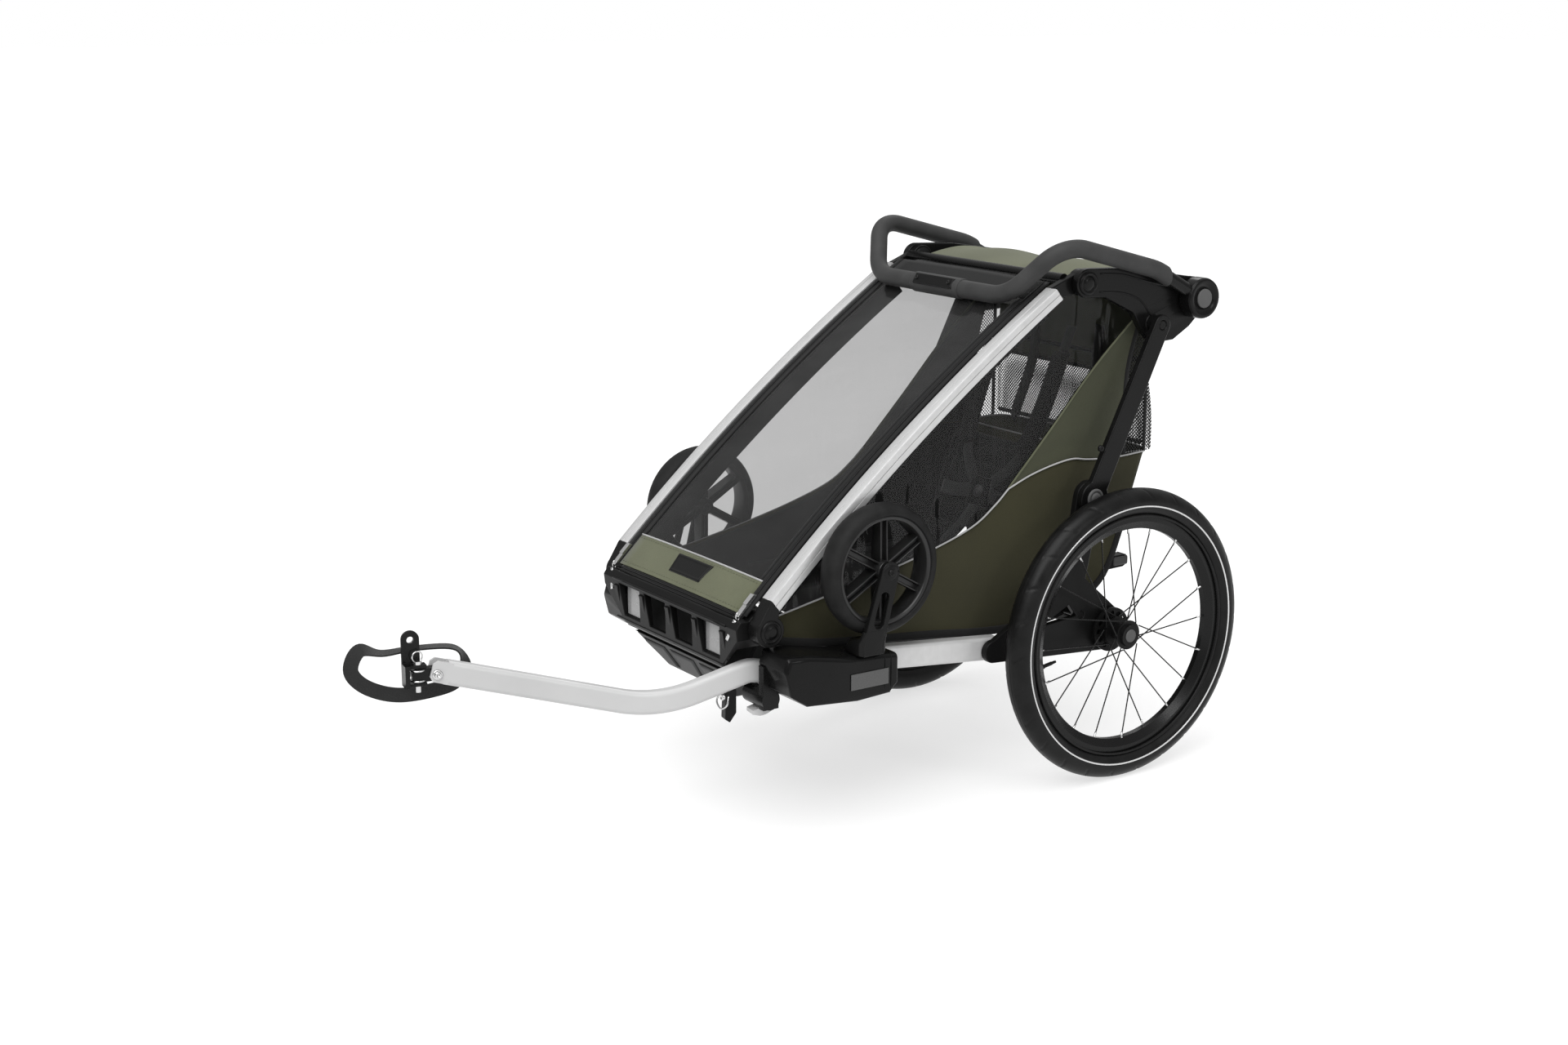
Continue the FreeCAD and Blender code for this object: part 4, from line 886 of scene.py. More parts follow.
def cover_seams():
    """Reflective piping over the lower panel, and the stitched hems round the window."""
    body = BODY_OF["front_cover"]
    top = cover_line((-0.183, 0.183), (PANEL_END, PANEL_END), 0.0016, 30)
    dress(swept("cover_piping", top, round_section(0.0015), "piping"), body, "olive_fabric")
    hem = cover_line((0.177, 0.177), (PANEL_END, 0.70), 0.0012)
    side_hem = swept("hem", hem, flat_section(0.007, 0.0016), "black_cloth", up=OUTWARDS)
    on_both_sides("cover_hem", side_hem, body, "black_fabric")
    stitches("cover_stitches", cover_line((-0.18, 0.18), (0.050, 0.050), 0.0022, 90), body, "olive")
    stitches("cover_low_stitches", cover_line((-0.18, 0.18), (0.0, 0.0), 0.0022, 90), body, "olive")


def stitches(name, line, body, material, thread=0.0004):
    """A row of stitches: every other step of a line carries a short thread."""
    pieces = []
    for start, end in zip(line[::2], line[1::2]):
        middle_point = (start + end) / 2
        pieces.append(swept("stitch", [start, middle_point, end], round_section(thread, 5), material))
    return dress(joined(name, pieces), body)


def cover_patch():
    """A plain moulded patch on the lower panel, left blank, with a raised rim."""
    half_top, half_bottom, low, high = 0.052, 0.046, 0.012, 0.047

    def corner(u, v, lift):
        half = half_bottom + (half_top - half_bottom) * v
        return cover_point(0.004 + half * (2 * u - 1), low + (high - low) * v, lift)

    def point(u, v):
        edge = min(u * 2.6, (1 - u) * 2.6, v, 1 - v)
        recess = 0.0008 * min(1.0, max(0.0, edge - 0.1) / 0.05)
        return corner(u, v, 0.0020 + 0.0026 * min(1.0, edge / 0.06) - recess)

    patch = grid_piece("cover_patch", point, 60, 24, "satin_plastic", 0.0008)
    dress(patch, BODY_OF["front_cover"], "black_plastic")


def cover_roll():
    """The ridged hem that closes over the top of the bumper."""
    ridges = []
    for number in range(5):
        place = -0.009 - 0.0052 * number
        line = cover_line((-0.183, 0.183), (place, place), -0.0014 - 0.001 * number, 24)
        ridges.append(swept("ridge", line, round_section(0.0030, 12), "satin_plastic"))
    dress(joined("cover_roll", ridges), BODY_OF["front_cover"], "black_fabric")


def zip_pulls():
    """A plated tab that hangs from each slider over the bumper on a short wire loop."""
    for side, way in SIDES:
        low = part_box(f"{side}_zip_slider")[0]
        top = Vector((way * 0.191, low.y + 0.002, low.z + 0.006))
        steps = [2 * math.pi * k / 20 for k in range(20)]
        loop = [top + Vector((0, 0.003 * math.sin(a), 0.006 * math.cos(a) - 0.004)) for a in steps]
        wire = swept("wire", loop, round_section(0.0011, 6), "steel", closed=True)
        hang = [top + Vector((-way * 0.004 * k, -0.005 - 0.0025 * k, -0.009 - 0.011 * k)) for k in range(4)]
        tab = swept("tab", smooth_line(hang, 3), flat_section(0.0075, 0.0022), "steel", up=(0, -1, 0))
        dress(joined(f"{side}_zip_pull", [wire, tab]), f"{side}_zip_slider", "steel")


# ------------------------------------------------------------ sides

WINDOW_CORNER = at(-0.186, 0.507)
WINDOW_TOP_REAR = at(0.092, 0.778)
REAR_EDGE_Y = 0.112
NET_EDGE_Y = 0.066
REAR_PANEL_Y = 0.116
BAG_TOP = 0.536


def pillar_line(out):
    """A line along the pillar, at a distance out from its lower face's chord."""
    line = []
    for k in range(41):
        along = 0.03 + (PILLAR_END - 0.05) * k / 40
        place = FRONT_JOINT + ALONG * along + OUTWARDS * (out + bow(along))
        line.append(Vector((0, place.y, place.z)))
    return line


def top_edge():
    """Upper edge of the side: along the pillar, over the top joint and under the link's arch."""
    arch = [at(-0.06, 0.822), at(-0.02, 0.812), at(0.03, 0.806), at(0.06, 0.797), WINDOW_TOP_REAR]
    return pillar_line(0.0175) + smooth_line(arch, 5)


def front_piping():
    """The reflective line where the side window and the lower panel meet."""
    ends = [at(-0.646, 0.362), at(-0.562, 0.378), at(-0.46, 0.398), at(-0.349, 0.424)]
    return smooth_line(ends + [at(-0.262, 0.452), at(-0.215, 0.482), WINDOW_CORNER], 6)


def rear_piping():
    ends = [WINDOW_CORNER, at(-0.14, 0.524), at(-0.09, 0.536), at(-0.048, 0.541), at(-0.012, 0.536)]
    return smooth_line(ends + [at(0.05, 0.533), at(REAR_EDGE_Y, BAG_TOP)], 6)


def lower_edge():
    ends = [at(-0.645, 0.322), at(-0.56, 0.306), at(-0.47, 0.296), at(-0.35, 0.284), at(-0.228, 0.270)]
    return smooth_line(ends + [at(-0.12, 0.268), at(-0.04, 0.285), at(0.03, 0.33), at(0.075, 0.43)], 6)


def window_diagonal():
    return smooth_line([WINDOW_CORNER, at(-0.1, 0.594), at(-0.004, 0.694), WINDOW_TOP_REAR], 6)


def rear_edge():
    """Rear edge of the side's cloth, which leaves room for the net that wraps round the corner."""
    return smooth_line(
        [at(NET_EDGE_Y, BAG_TOP), at(NET_EDGE_Y, 0.66), at(0.078, 0.72), at(0.098, 0.775)], 4
    )


def corner_edge():
    """The cabin's rear corner, from the top of the bag up to the rear crossbar."""
    return [at(REAR_EDGE_Y, BAG_TOP).lerp(at(REAR_EDGE_Y, 0.785), k / 10) for k in range(11)]


def cloth_outline():
    """Lower and rear edge of the olive cloth behind the window."""
    start = at(NET_EDGE_Y, BAG_TOP).y
    return [point for point in rear_piping() if point.y < start] + rear_edge()


def side_sheet(name, lower, upper, material, inset=0.001, bulge=0.0, wave=0.0, thickness=0.0012):
    """A sheet on the trailer's left side between two edges, swelling and rippling in its middle."""

    def point(u, v):
        place = along_line(lower, u).lerp(along_line(upper, u), v)
        swell = bulge * math.sin(math.pi * u) * math.sin(math.pi * v)
        ripple = wave * math.sin(math.pi * v) * math.sin(9 * u + 5 * v) * math.sin(math.pi * u)
        return Vector((SIDE_X - inset + swell + ripple, place.y, place.z))

    return cloth_sheet(name, point, 80, 24, material, thickness)


def flattened(pieces):
    """Gives each soft piece on the lower frame a mesh of its own."""
    for piece in pieces:
        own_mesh(piece)


def side_panels():
    body = BODY_OF["side_panels"]
    whole_lower = front_piping() + rear_piping()[1:]
    window = side_sheet(
        "side_window", front_piping()[:-1] + window_diagonal(), top_edge(), "side_film", 0.001, -0.004,
        0.0022, 0,
    )
    # The lower and rear side sheets take darker copies of the olive cloth: painted shade on the sides.
    lower = side_sheet("side_lower", lower_edge(), whole_lower, "shaded_side_olive", bulge=0.004, wave=0.0014)
    rear = side_sheet(
        "side_rear", cloth_outline(), window_diagonal(), "shaded_rear_olive", bulge=0.0015, wave=0.0016
    )
    corner = side_sheet("side_net", corner_edge(), rear_edge(), "net", bulge=0.003, thickness=0)
    pieces = on_both_sides("side_window", window, body, "clear_window", "stretched")
    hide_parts("side_panels")
    pieces += on_both_sides("side_lower", lower, body, "olive_fabric", "stretched")
    pieces += on_both_sides("side_rear", rear, body, "olive_fabric", "stretched")
    pieces += on_both_sides("side_net", corner, body, "black_fabric", "stretched")
    flattened(pieces)


def side_seams():
    """Piping, window hems, the black band under each pillar and the stitched rear corners."""
    body = BODY_OF["side_panels"]

    def raised(line, proud=0.001):
        return [Vector((SIDE_X + proud, point.y, point.z)) for point in line]

    piping = raised(front_piping() + rear_piping()[1:])
    seams = [
        ("side_piping", piping, round_section(0.0015), "piping", "olive_fabric"),
        ("window_hem", raised(window_diagonal(), 0), flat_section(0.004, 0.0016), "olive", "olive_fabric"),
        (
            "pillar_hem",
            raised(pillar_line(0.011), 0),
            flat_section(0.013, 0.0016),
            "black_cloth",
            "black_fabric",
        ),
        ("rear_hem", raised(rear_edge(), 0), flat_section(0.010, 0.003), "black_cloth", "black_fabric"),
        (
            "rear_corner",
            raised(corner_edge(), 0),
            flat_section(0.008, 0.003),
            "black_cloth",
            "black_fabric",
        ),
        ("lower_hem", raised(lower_edge(), 0), flat_section(0.014, 0.003), "black_cloth", "black_fabric"),
    ]
    for name, line, section, material, slot in seams:
        up = (1, 0, 0) if len(section) == 8 else None
        flattened(on_both_sides(name, swept(name, line, section, material, up=up), body, slot))


def cabin_lining():
    """Black lining inside the lower sides, the rear corners and the pillars."""
    body = BODY_OF["cabin_tub"]
    whole_lower = [point - Vector((0, 0, 0.003)) for point in front_piping() + rear_piping()[1:]]
    inner = [point + Vector((0, 0.001, -0.001)) for point in window_diagonal()]
    sheets = {
        "lining_low": side_sheet("lining_low", lower_edge(), whole_lower, "lining", 0.006, 0, 0.002),
        "lining_rear": side_sheet("lining_rear", cloth_outline(), inner, "lining", 0.006, 0, 0.002),
        "lining_pillar": side_sheet("lining_pillar", pillar_line(-0.014), pillar_line(0.017), "lining", 0.005),
    }
    for name, sheet in sheets.items():
        flattened(on_both_sides(name, sheet, body, "black_fabric", "hung"))


def cabin_tub():
    """Fabric floor that turns up at the sides."""
    low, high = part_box("cabin_tub")
    turn_up = 0.26

    def point(u, v):
        spread = max(-1.0, min(1.0, (2 * u - 1) / (1 - turn_up)))
        rise = max(0.0, abs(2 * u - 1) - (1 - turn_up)) / turn_up
        sag = 0.005 * math.cos(math.pi * spread / 2) * math.sin(math.pi * v)
        depth = low.y + (high.y - low.y) * v
        return Vector(
            ((high.x - 0.004) * spread, depth, low.z + 0.008 - sag + (high.z - low.z - 0.012) * rise)
        )

    tub = cloth_sheet("cabin_floor", point, 60, 24, "black_cloth", 0.002)
    dress(tub, BODY_OF["cabin_tub"], "black_fabric", ["cabin_tub"], "hung")


def footwell_skirts():
    """Cloth from the footwell's rim out to the cabin's sides, and up behind the bumper."""
    body = BODY_OF["cabin_tub"]
    rim_x, rim_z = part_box("footwell_hull")[1].x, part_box("footwell_hull")[1].z
    side_line = [point for point in lower_edge() if at(-0.625, 0).y < point.y < at(-0.435, 0).y]

    def beside(u, v):
        outer = along_line(side_line, u)
        sag = 0.005 * math.sin(math.pi * v)
        return Vector(
            (rim_x - 0.003 + (SIDE_X - rim_x) * v, outer.y, rim_z - 0.003 + (outer.z - rim_z) * v - sag)
        )

    def behind_bumper(u, v):
        belly = 0.006 * math.sin(math.pi * v)
        return at(-0.690 + 0.036 * v + belly, rim_z - 0.002 + 0.088 * v, 0.178 * (2 * u - 1))

    on_both_sides(
        "footwell_skirt",
        cloth_sheet("skirt", beside, 24, 10, "lining", 0.0016),
        body,
        "black_fabric",
        "hung",
    )
    dress(
        cloth_sheet("bumper_liner", behind_bumper, 40, 10, "lining", 0.0016),
        body,
        "black_fabric",
        held="hung",
    )


# ------------------------------------------------------------ seat and harness

SEAT_FOOT = at(-0.092, 0.372)
SEAT_LEAN = math.radians(20.4)
SEAT_UP = Vector((0, math.sin(SEAT_LEAN), math.cos(SEAT_LEAN)))
SEAT_INTO = Vector((0, math.cos(SEAT_LEAN), -math.sin(SEAT_LEAN)))
SEAT_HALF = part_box("seat_base")[1].x
BACK_HEIGHT, BACK_DEPTH = 0.19, 0.034


def back_point(x, height, depth=0.0):
    """A point on the seat back: across, up its slope and into its depth."""
    return Vector((x, 0, 0)) + SEAT_FOOT + SEAT_UP * height + SEAT_INTO * depth


def cushion_blank(name, place, half_wide, length, depth, material, crown=0.18):
    """A closed, crowned pad whose edges pull in, over place(across, along, thickness)."""
    columns, rows = 34, 26
    points, faces = [], []
    for side in (1, -1):
        for j in range(rows + 1):
            for i in range(columns + 1):
                u, v = 2 * i / columns - 1, 2 * j / rows - 1
                edge = (1 - u**8) ** 0.5 * (1 - v**8) ** 0.5
                pull = 1 - 0.02 * math.cos(math.pi * v) * (1 - abs(u)) - 0.015
                thick = depth / 2 * edge * (1 - crown * (u * u + v * v) / 2)
                points.append(place(half_wide * u * pull, length * (v * 0.985 + 1) / 2, side * thick))
    step, layer = columns + 1, (columns + 1) * (rows + 1)
    for j in range(rows):
        for i in range(columns):
            a = j * step + i
            quad = (a, a + 1, a + step + 1, a + step)
            faces += [quad, tuple(layer + k for k in quad[::-1])]
    piece = mesh_piece(name, points, faces, material)
    shape = bmesh.new()
    shape.from_mesh(piece.data)
    bmesh.ops.remove_doubles(shape, verts=shape.verts, dist=1e-5)
    bmesh.ops.recalc_face_normals(shape, faces=shape.faces)
    shape.to_mesh(piece.data)
    shape.free()
    return piece


def sewn_channels(piece, seams, inwards, depth=0.006, width=0.006):
    """Presses channels into a pad's face: each seam gives a point's distance from it."""
    for vertex in piece.data.vertices:
        if vertex.normal.dot(inwards) > -0.2:
            continue
        for seam in seams:
            vertex.co += inwards * depth * math.exp(-((seam(vertex.co) / width) ** 2))


def seat_base():
    low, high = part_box("seat_base")
    middle_z, length = (low.z + high.z) / 2 - 0.002, high.y - low.y

    def place(across, along, thick):
        return Vector((across, low.y + along, middle_z + thick))

    pad = cushion_blank("seat_cushion", place, SEAT_HALF - 0.008, length, 0.036, "quilt")
    inflated(pad, cap=0.009)
    seams = [lambda point, x=x: point.x - x for x in (-0.085, 0.085)]
    seams.append(lambda point: point.y - low.y - 0.05)
    sewn_channels(pad, seams, Vector((0, 0, -1)))
    dress(pad, BODY_OF["seat_base"], "black_fabric", ["seat_base"])


def seat_back():
    def place(across, along, thick):
        return back_point(across, along, BACK_DEPTH / 2 + thick)

    pad = cushion_blank("back_cushion", place, SEAT_HALF - 0.008, BACK_HEIGHT, 0.026, "quilt")
    inflated(pad, cap=0.007)
    seams = [lambda point, x=x: point.x - x for x in (-0.12, 0.12)]
    seams += [lambda point, h=h: (point - SEAT_FOOT).dot(SEAT_UP) - h for h in (0.065, 0.13)]
    sewn_channels(pad, seams, SEAT_INTO, 0.005)
    dress(pad, BODY_OF["seat_back"], "black_fabric", ["seat_back"])
    flattened([pad])


def harness():
    """Two shoulder straps with pads, a hip strap and a crotch strap that meet in one buckle."""
    body = BODY_OF["harness"]
    buckle_height = 0.078
    pieces = []
    for way in (-1, 1):
        route = [back_point(way * 0.088, 0.395, -0.003), back_point(way * 0.088, 0.24, -0.008)]
        route += [
            back_point(way * 0.07, 0.15, -0.014), back_point(way * 0.02, buckle_height + 0.015, -0.016)
        ]
        line = smooth_line(route, 10)
        pieces.append(swept("shoulder_strap", line, flat_section(0.025, 0.002), "webbing", up=SEAT_INTO))
        pad_line = [point - SEAT_INTO * 0.004 for point in line[3:20]]
        pieces.append(swept("shoulder_pad", pad_line, flat_section(0.044, 0.009), "quilt", up=SEAT_INTO))
        hip = [back_point(way * 0.12, 0.07, -0.002), back_point(way * 0.07, 0.07, -0.012)]
        hip.append(back_point(way * 0.02, buckle_height, -0.015))
        pieces.append(
            swept("hip_strap", smooth_line(hip, 8), upright_section(0.025, 0.002), "webbing", up=SEAT_UP)
        )
    crotch = [
        at(-0.225, 0.350), at(-0.18, 0.362), at(-0.13, 0.392), back_point(0, buckle_height - 0.02, -0.016)
    ]
    pieces.append(
        swept("crotch_strap", smooth_line(crotch, 8), flat_section(0.03, 0.0025), "webbing", up=(0, -1, 1))
    )
    buckle = block(
        "buckle",
        back_point(0, buckle_height, -0.015),
        (0.05, 0.012, 0.052),
        "black_plastic",
        (Vector((1, 0, 0)), SEAT_INTO, SEAT_UP),
        0.8,
    )
    pieces.append(buckle)
    pieces.append(
        grooved_cap(
            "buckle_button", back_point(0, buckle_height, -0.021), 0.011, 0.002, "grey_plastic", -SEAT_INTO
        )
    )
    whole = dress(joined("harness_set", pieces), body, "black_webbing", ["harness"])
    flattened([whole])


# ------------------------------------------------------------ rear panel, pocket and bag


def rear_strip(name, x, z, material, thickness=0.0014, puff=0.0, lean=0.0):
    """A strip of the cabin's back between two limits across and up; lean sets its top edge back."""

    def point(u, v):
        swell = puff * math.sin(math.pi * u) * math.sin(math.pi * v) + lean * v**3
        return at(REAR_PANEL_Y + swell, z[0] + (z[1] - z[0]) * v, x[0] + (x[1] - x[0]) * u)

    return cloth_sheet(name, point, 30, 12, material, thickness)


def rear_panel():
    """Fabric panel with a wide net window, and the straps that hang in front of it."""
    body = BODY_OF["rear_panel"]
    upper = rear_strip("rear_upper", (-0.196, 0.196), (0.66, 0.796), "olive", puff=0.003, lean=0.014)
    window = rear_strip("rear_net", (-0.196, 0.196), (0.548, 0.664), "net", thickness=0)
    pieces = [
        dress(upper, body, "olive_fabric", ["rear_panel"], "stretched"),
        dress(window, body, "black_fabric", held="stretched"),
    ]
    for name, x, z in (
        ("rear_hem", (-0.19, 0.19), (0.66, 0.66)), ("rear_low_hem", (-0.19, 0.19), (0.549, 0.549))
    ):
        line = [at(REAR_PANEL_Y, z[0], x[0] + (x[1] - x[0]) * k / 20) for k in range(21)]
        pieces.append(
            dress(
                swept(name, line, flat_section(0.008, 0.004), "black_cloth", up=(0, 1, 0)),
                body,
                "black_fabric",
            )
        )
    for number, (top_x, low_x) in enumerate(((-0.085, -0.128), (0.085, 0.104))):
        route = [
            at(0.11, 0.74, top_x), at(0.105, 0.66, top_x), at(0.106, 0.56, low_x), at(0.106, 0.545, low_x)
        ]
        strap = swept(
            f"rear_strap_{number}",
            smooth_line(route, 6),
            flat_section(0.025, 0.0018),
            "webbing",
            up=(0, 1, 0),
        )
        pieces.append(dress(strap, body, "black_webbing"))
    flattened(pieces)


def plan_point(half_x, low_y, high_y, angle, squareness=7.0):
    """A point on a rounded rectangle in plan, at an angle from +X."""
    cosine, sine = math.cos(angle), math.sin(angle)
    x = half_x * math.copysign(abs(cosine) ** (2 / squareness), cosine)
    y = (high_y - low_y) / 2 * math.copysign(abs(sine) ** (2 / squareness), sine)
    return x, (low_y + high_y) / 2 + y


def rear_pocket():
    """Net pocket that wraps round the rear, from the bag's rim up to the panel."""
    low, high = BAG_TOP, 0.69

    def point(u, v):
        reach = 0.028 * (1 - v) + 0.010 * math.sin(math.pi * v) + 0.004
        x, y = plan_point(0.199, -reach, reach, math.pi * u)
        return at(REAR_EDGE_Y + max(0.0, y), low + (high - low) * v, x)

    pocket = dress(
        cloth_sheet("rear_pocket", point, 90, 24, "net", 0),
        BODY_OF["rear_panel"],
        "black_fabric",
        held="hung",
    )
    rim = [point(k / 90, 1.0) for k in range(91)]
    hem = swept("pocket_hem", rim, upright_section(0.008, 0.003), "black_cloth", up=(0, 0, 1))
    flattened([pocket, dress(hem, BODY_OF["rear_panel"], "black_fabric")])


def cargo_bag():
    """Lofted fabric bag that bellies out and sags at its floor."""
    body = BODY_OF["cargo_bag"]
    top = (0.197, 0.034, 0.142, BAG_TOP)
    foot = (0.112, -0.024, 0.062, 0.296)

    def point(u, v):
        side = min(1.0, v / 0.8)
        shrink = max(0.0, (0.2 - v) / 0.2) if v < 0.2 else 0.0
        share = max(0.0, (v - 0.2) / 0.8)
        half_x, low_y, high_y, z = (a + (b - a) * share for a, b in zip(foot, top))
        belly = 0.007 * math.sin(math.pi * min(1.0, share))
        centre_y = (low_y + high_y) / 2
        x, y = plan_point(half_x + belly, low_y - belly, high_y + belly, 2 * math.pi * u, 5.0)
        crease = 0.0025 * math.sin(10 * math.pi * u) * math.sin(math.pi * side)
        sag = 0.006 * shrink
        keep = 1 - shrink**1.5
        return at(
            centre_y + (y - centre_y) * keep + crease,
            z - sag + 0.006 * (1 - shrink) * (share == 0),
            x * keep,
        )

    # The bag takes the darker side copy of the olive cloth: painted shade.
    bag = cloth_sheet("bag", point, 120, 40, "shaded_side_olive", 0.0014)
    dress(bag, body, "olive_fabric", ["cargo_bag"], "hung")
    rim = [point(k / 120, 1.0) for k in range(120)]
    piping = swept("bag_piping", rim, round_section(0.0015), "piping", closed=True)
    flattened([bag, dress(piping, body, "olive_fabric")])


# ------------------------------------------------------------ canopy

CANOPY_LINE = ((-0.066, 0.845), (-0.02, 0.854), (0.03, 0.857), (0.09, 0.846), (0.151, 0.811))


def canopy():
    """One curved sheet over the top frame, turned down at the sides, with black piping round it."""
    body = BODY_OF["canopy"]
    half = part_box("canopy")[1].x - 0.002
    spine = smooth_line([at(y, z) for y, z in CANOPY_LINE], 10)

    def point(u, v):
        across = 2 * u - 1
        centre = along_line(spine, v)
        turn = max(0.0, abs(across) - 0.84) / 0.16
        drop = 0.014 * turn**2 + 0.003 * across * across
        sag = 0.003 * math.sin(math.pi * v) * math.cos(3 * math.pi * across)
        return Vector(
            (
                half * math.sin(across * math.pi / 2 * 0.94) / math.sin(math.pi / 2 * 0.94),
                centre.y,
                centre.z - drop - sag,
            )
        )

    sheet = cloth_sheet("canopy_sheet", point, 60, 40, "olive", 0.0018)
    dress(sheet, body, "olive_fabric", ["canopy"], "stretched")
    front = [point(k / 30, 0.0) for k in range(31)]
    rear = [point(k / 30, 1.0) for k in range(31)]
    sides = {way: [point(0.5 + way / 2, k / 30) for k in range(31)] for way in (-1, 1)}
    trims = [
        swept("canopy_front_hem", front, round_section(0.0048, 12), "satin_plastic"),
        swept("canopy_rear_hem", rear, round_section(0.0035, 10), "black_cloth"),
    ]
    trims += [
        swept("canopy_side", line, round_section(0.0036, 10), "black_cloth") for line in sides.values()
    ]
    dress(joined("canopy_trim", trims), body, "black_fabric")


# ------------------------------------------------------------ frame details


def hinge_caps():
    """Round caps on the outer ends of the frame's hinge pins."""
    for node, body_node in (("front_hinge_pins", "front_hinge_pins"), ("top_hinge_pins", "top_hinge_pins")):
        low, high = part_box(node)
        centre = (low + high) / 2
        radius = (high.z - low.z) / 2
        pieces = []
        for way in (-1, 1):
            place = Vector((way * (high.x - 0.0065), centre.y, centre.z))
            pieces.append(grooved_cap("cap", place, radius, 0.0055, "satin_plastic", (way, 0, 0)))
            barrel = turned(
                "barrel",
                [(0, 0), (0, radius - 0.0012), (-0.027, radius - 0.0012), (-0.027, 0)],
                place,
                "black_plastic",
                48,
                (way, 0, 0),
            )
            pieces.append(barrel)
        dress(joined(f"{node}_caps", pieces), BODY_OF[body_node], "black_plastic", [node])


def pivot_caps():
    """Grey discs on the rear joints, and rings round the handlebar's buttons."""
    upright_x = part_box("rear_uprights")[1].x
    pieces = []
    rings = []
    for way in (-1, 1):
        rear_joint = at(-0.049, 0.484, way * (upright_x - 0.0005))
        pieces.append(grooved_cap("disc", rear_joint, 0.0165, 0.0035, "grey_plastic", (way, 0, 0)))
        pieces.append(screw("link_screw", at(-0.041, 0.568, way * upright_x), (way, 0, 0), 0.0055))
        hub = Vector((way * 0.2635, HANDLE_JOINT.y, HANDLE_JOINT.z))
        ring = [
            (-0.001, 0.0335), (0.0012, 0.0330), (0.0020, 0.0315), (0.0020, 0.026), (0.0008, 0.0245),
            (0.0008, 0.0175), (-0.001, 0.0172),
        ]
        rings.append(turned("ring", ring, hub, "satin_plastic", 96, (way, 0, 0)))
    dress(joined("rear_joint_discs", pieces), "upright_frame", "grey_plastic")
    dress(joined("handlebar_rings", rings), "handlebar", "black_plastic")


def link_details():
    """Raised rims and a screw on the top links."""
    pieces = []
    x = 0.2355
    upper = smooth_line(
        [at(-0.03, 0.853), at(0.02, 0.848), at(0.08, 0.832), at(0.13, 0.822), at(0.158, 0.829)], 6
    )
    lower = smooth_line([at(-0.03, 0.823), at(0.02, 0.818), at(0.06, 0.803), at(0.085, 0.775)], 6)
    for way in (-1, 1):
        for line in (upper, lower):
            rim = [Vector((way * x, point.y, point.z)) for point in line]
            pieces.append(swept("rim", rim, round_section(0.0018, 8), "satin_plastic"))
        pieces.append(screw("top_screw", at(0.11, 0.763, way * x), (way, 0, 0), 0.0045))
        pieces.append(screw("pivot_screw", at(0.089, 0.762, way * x), (way, 0, 0), 0.008))
    dress(joined("link_trim", pieces), "top_frame", "black_plastic")


def grip_pad():
    """Flat pad with two screws in the middle of the handlebar's cross grip."""
    low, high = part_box("grip_clamp")
    centre = (low + high) / 2
    facing = Vector((0, -0.85, 0.52)).normalized()
    upwards = Vector((1, 0, 0)).cross(facing)
    sleeve = turned(
        "sleeve",
        [
            (-0.064, 0.0145), (-0.0635, 0.0165), (-0.061, 0.0173), (0.061, 0.0173), (0.0635, 0.0165),
            (0.064, 0.0145),
        ],
        centre,
        "foam",
        48,
    )
    pad = block(
        "pad",
        centre + facing * 0.0150,
        (0.112, 0.020, 0.0075),
        "black_plastic",
        (Vector((1, 0, 0)), upwards, facing),
        0.9,
    )
    pieces = [sleeve, pad]
    for x in (-0.043, 0.043):
        pieces.append(screw("pad_screw", centre + Vector((x, 0, 0)) + facing * 0.0186, facing, 0.0038))
    dress(joined("grip_pad", pieces), BODY_OF["grip_clamp"], "black_plastic", ["grip_clamp"])


def bumper_details():
    """Panels on the footwell hull's front and the ribs between the bumper's windows."""
    low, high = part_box("footwell_hull")
    top, floor_y, floor_half = high.x, AXLE.y - 0.655, 0.104
    pieces = []
    for left_share, right_share in ((0.04, 0.30), (0.36, 0.64), (0.70, 0.96)):

        def point(u, v, start=left_share, end=right_share):
            rise = 0.15 + 0.7 * v
            half = floor_half + (top - floor_half) * rise
            narrow = 0.012 * (1 - v)
            share = start + (end - start) * u
            x = half * (2 * share - 1) + narrow * (1 - 2 * u)
            y = floor_y + (low.y - floor_y) * rise
            edge = min(u, 1 - u, v, 1 - v)
            out = 0.0004 + 0.0024 * min(1.0, edge / 0.07)
            slope = Vector((0, -(high.z - low.z), -(floor_y - low.y))).normalized()
            return Vector((x, y, low.z + (high.z - low.z) * rise)) + slope * out

        pieces.append(grid_piece("hull_panel", point, 28, 20, "hull_plastic", 0.0006))
    dress(joined("hull_panels", pieces), BODY_OF["footwell_hull"], "black_plastic")
    bumper_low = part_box("front_bumper")[0]
    ribs = []
    for number in range(5):
        x = -0.164 + 0.082 * number
        root = Vector((x, bumper_low.y + 0.001, 0.342))
        tip = Vector((x, bumper_low.y + 0.010, 0.292))
        run = tip - root
        axes = (Vector((1, 0, 0)), Vector((1, 0, 0)).cross(run.normalized()), run.normalized())
        ribs.append(block("rib", (root + tip) / 2, (0.013, 0.006, run.length), "black_plastic", axes, 0.45))
    for z in (0.352, 0.284):
        line = [
            Vector((-0.175 + 0.035 * k, bumper_low.y + (0.0005 if z > 0.3 else 0.0085), z))
            for k in range(11)
        ]
        ribs.append(swept("lip", line, round_section(0.0022, 8), "black_plastic"))
    dress(joined("bumper_ribs", ribs), BODY_OF["front_bumper"], "black_plastic")


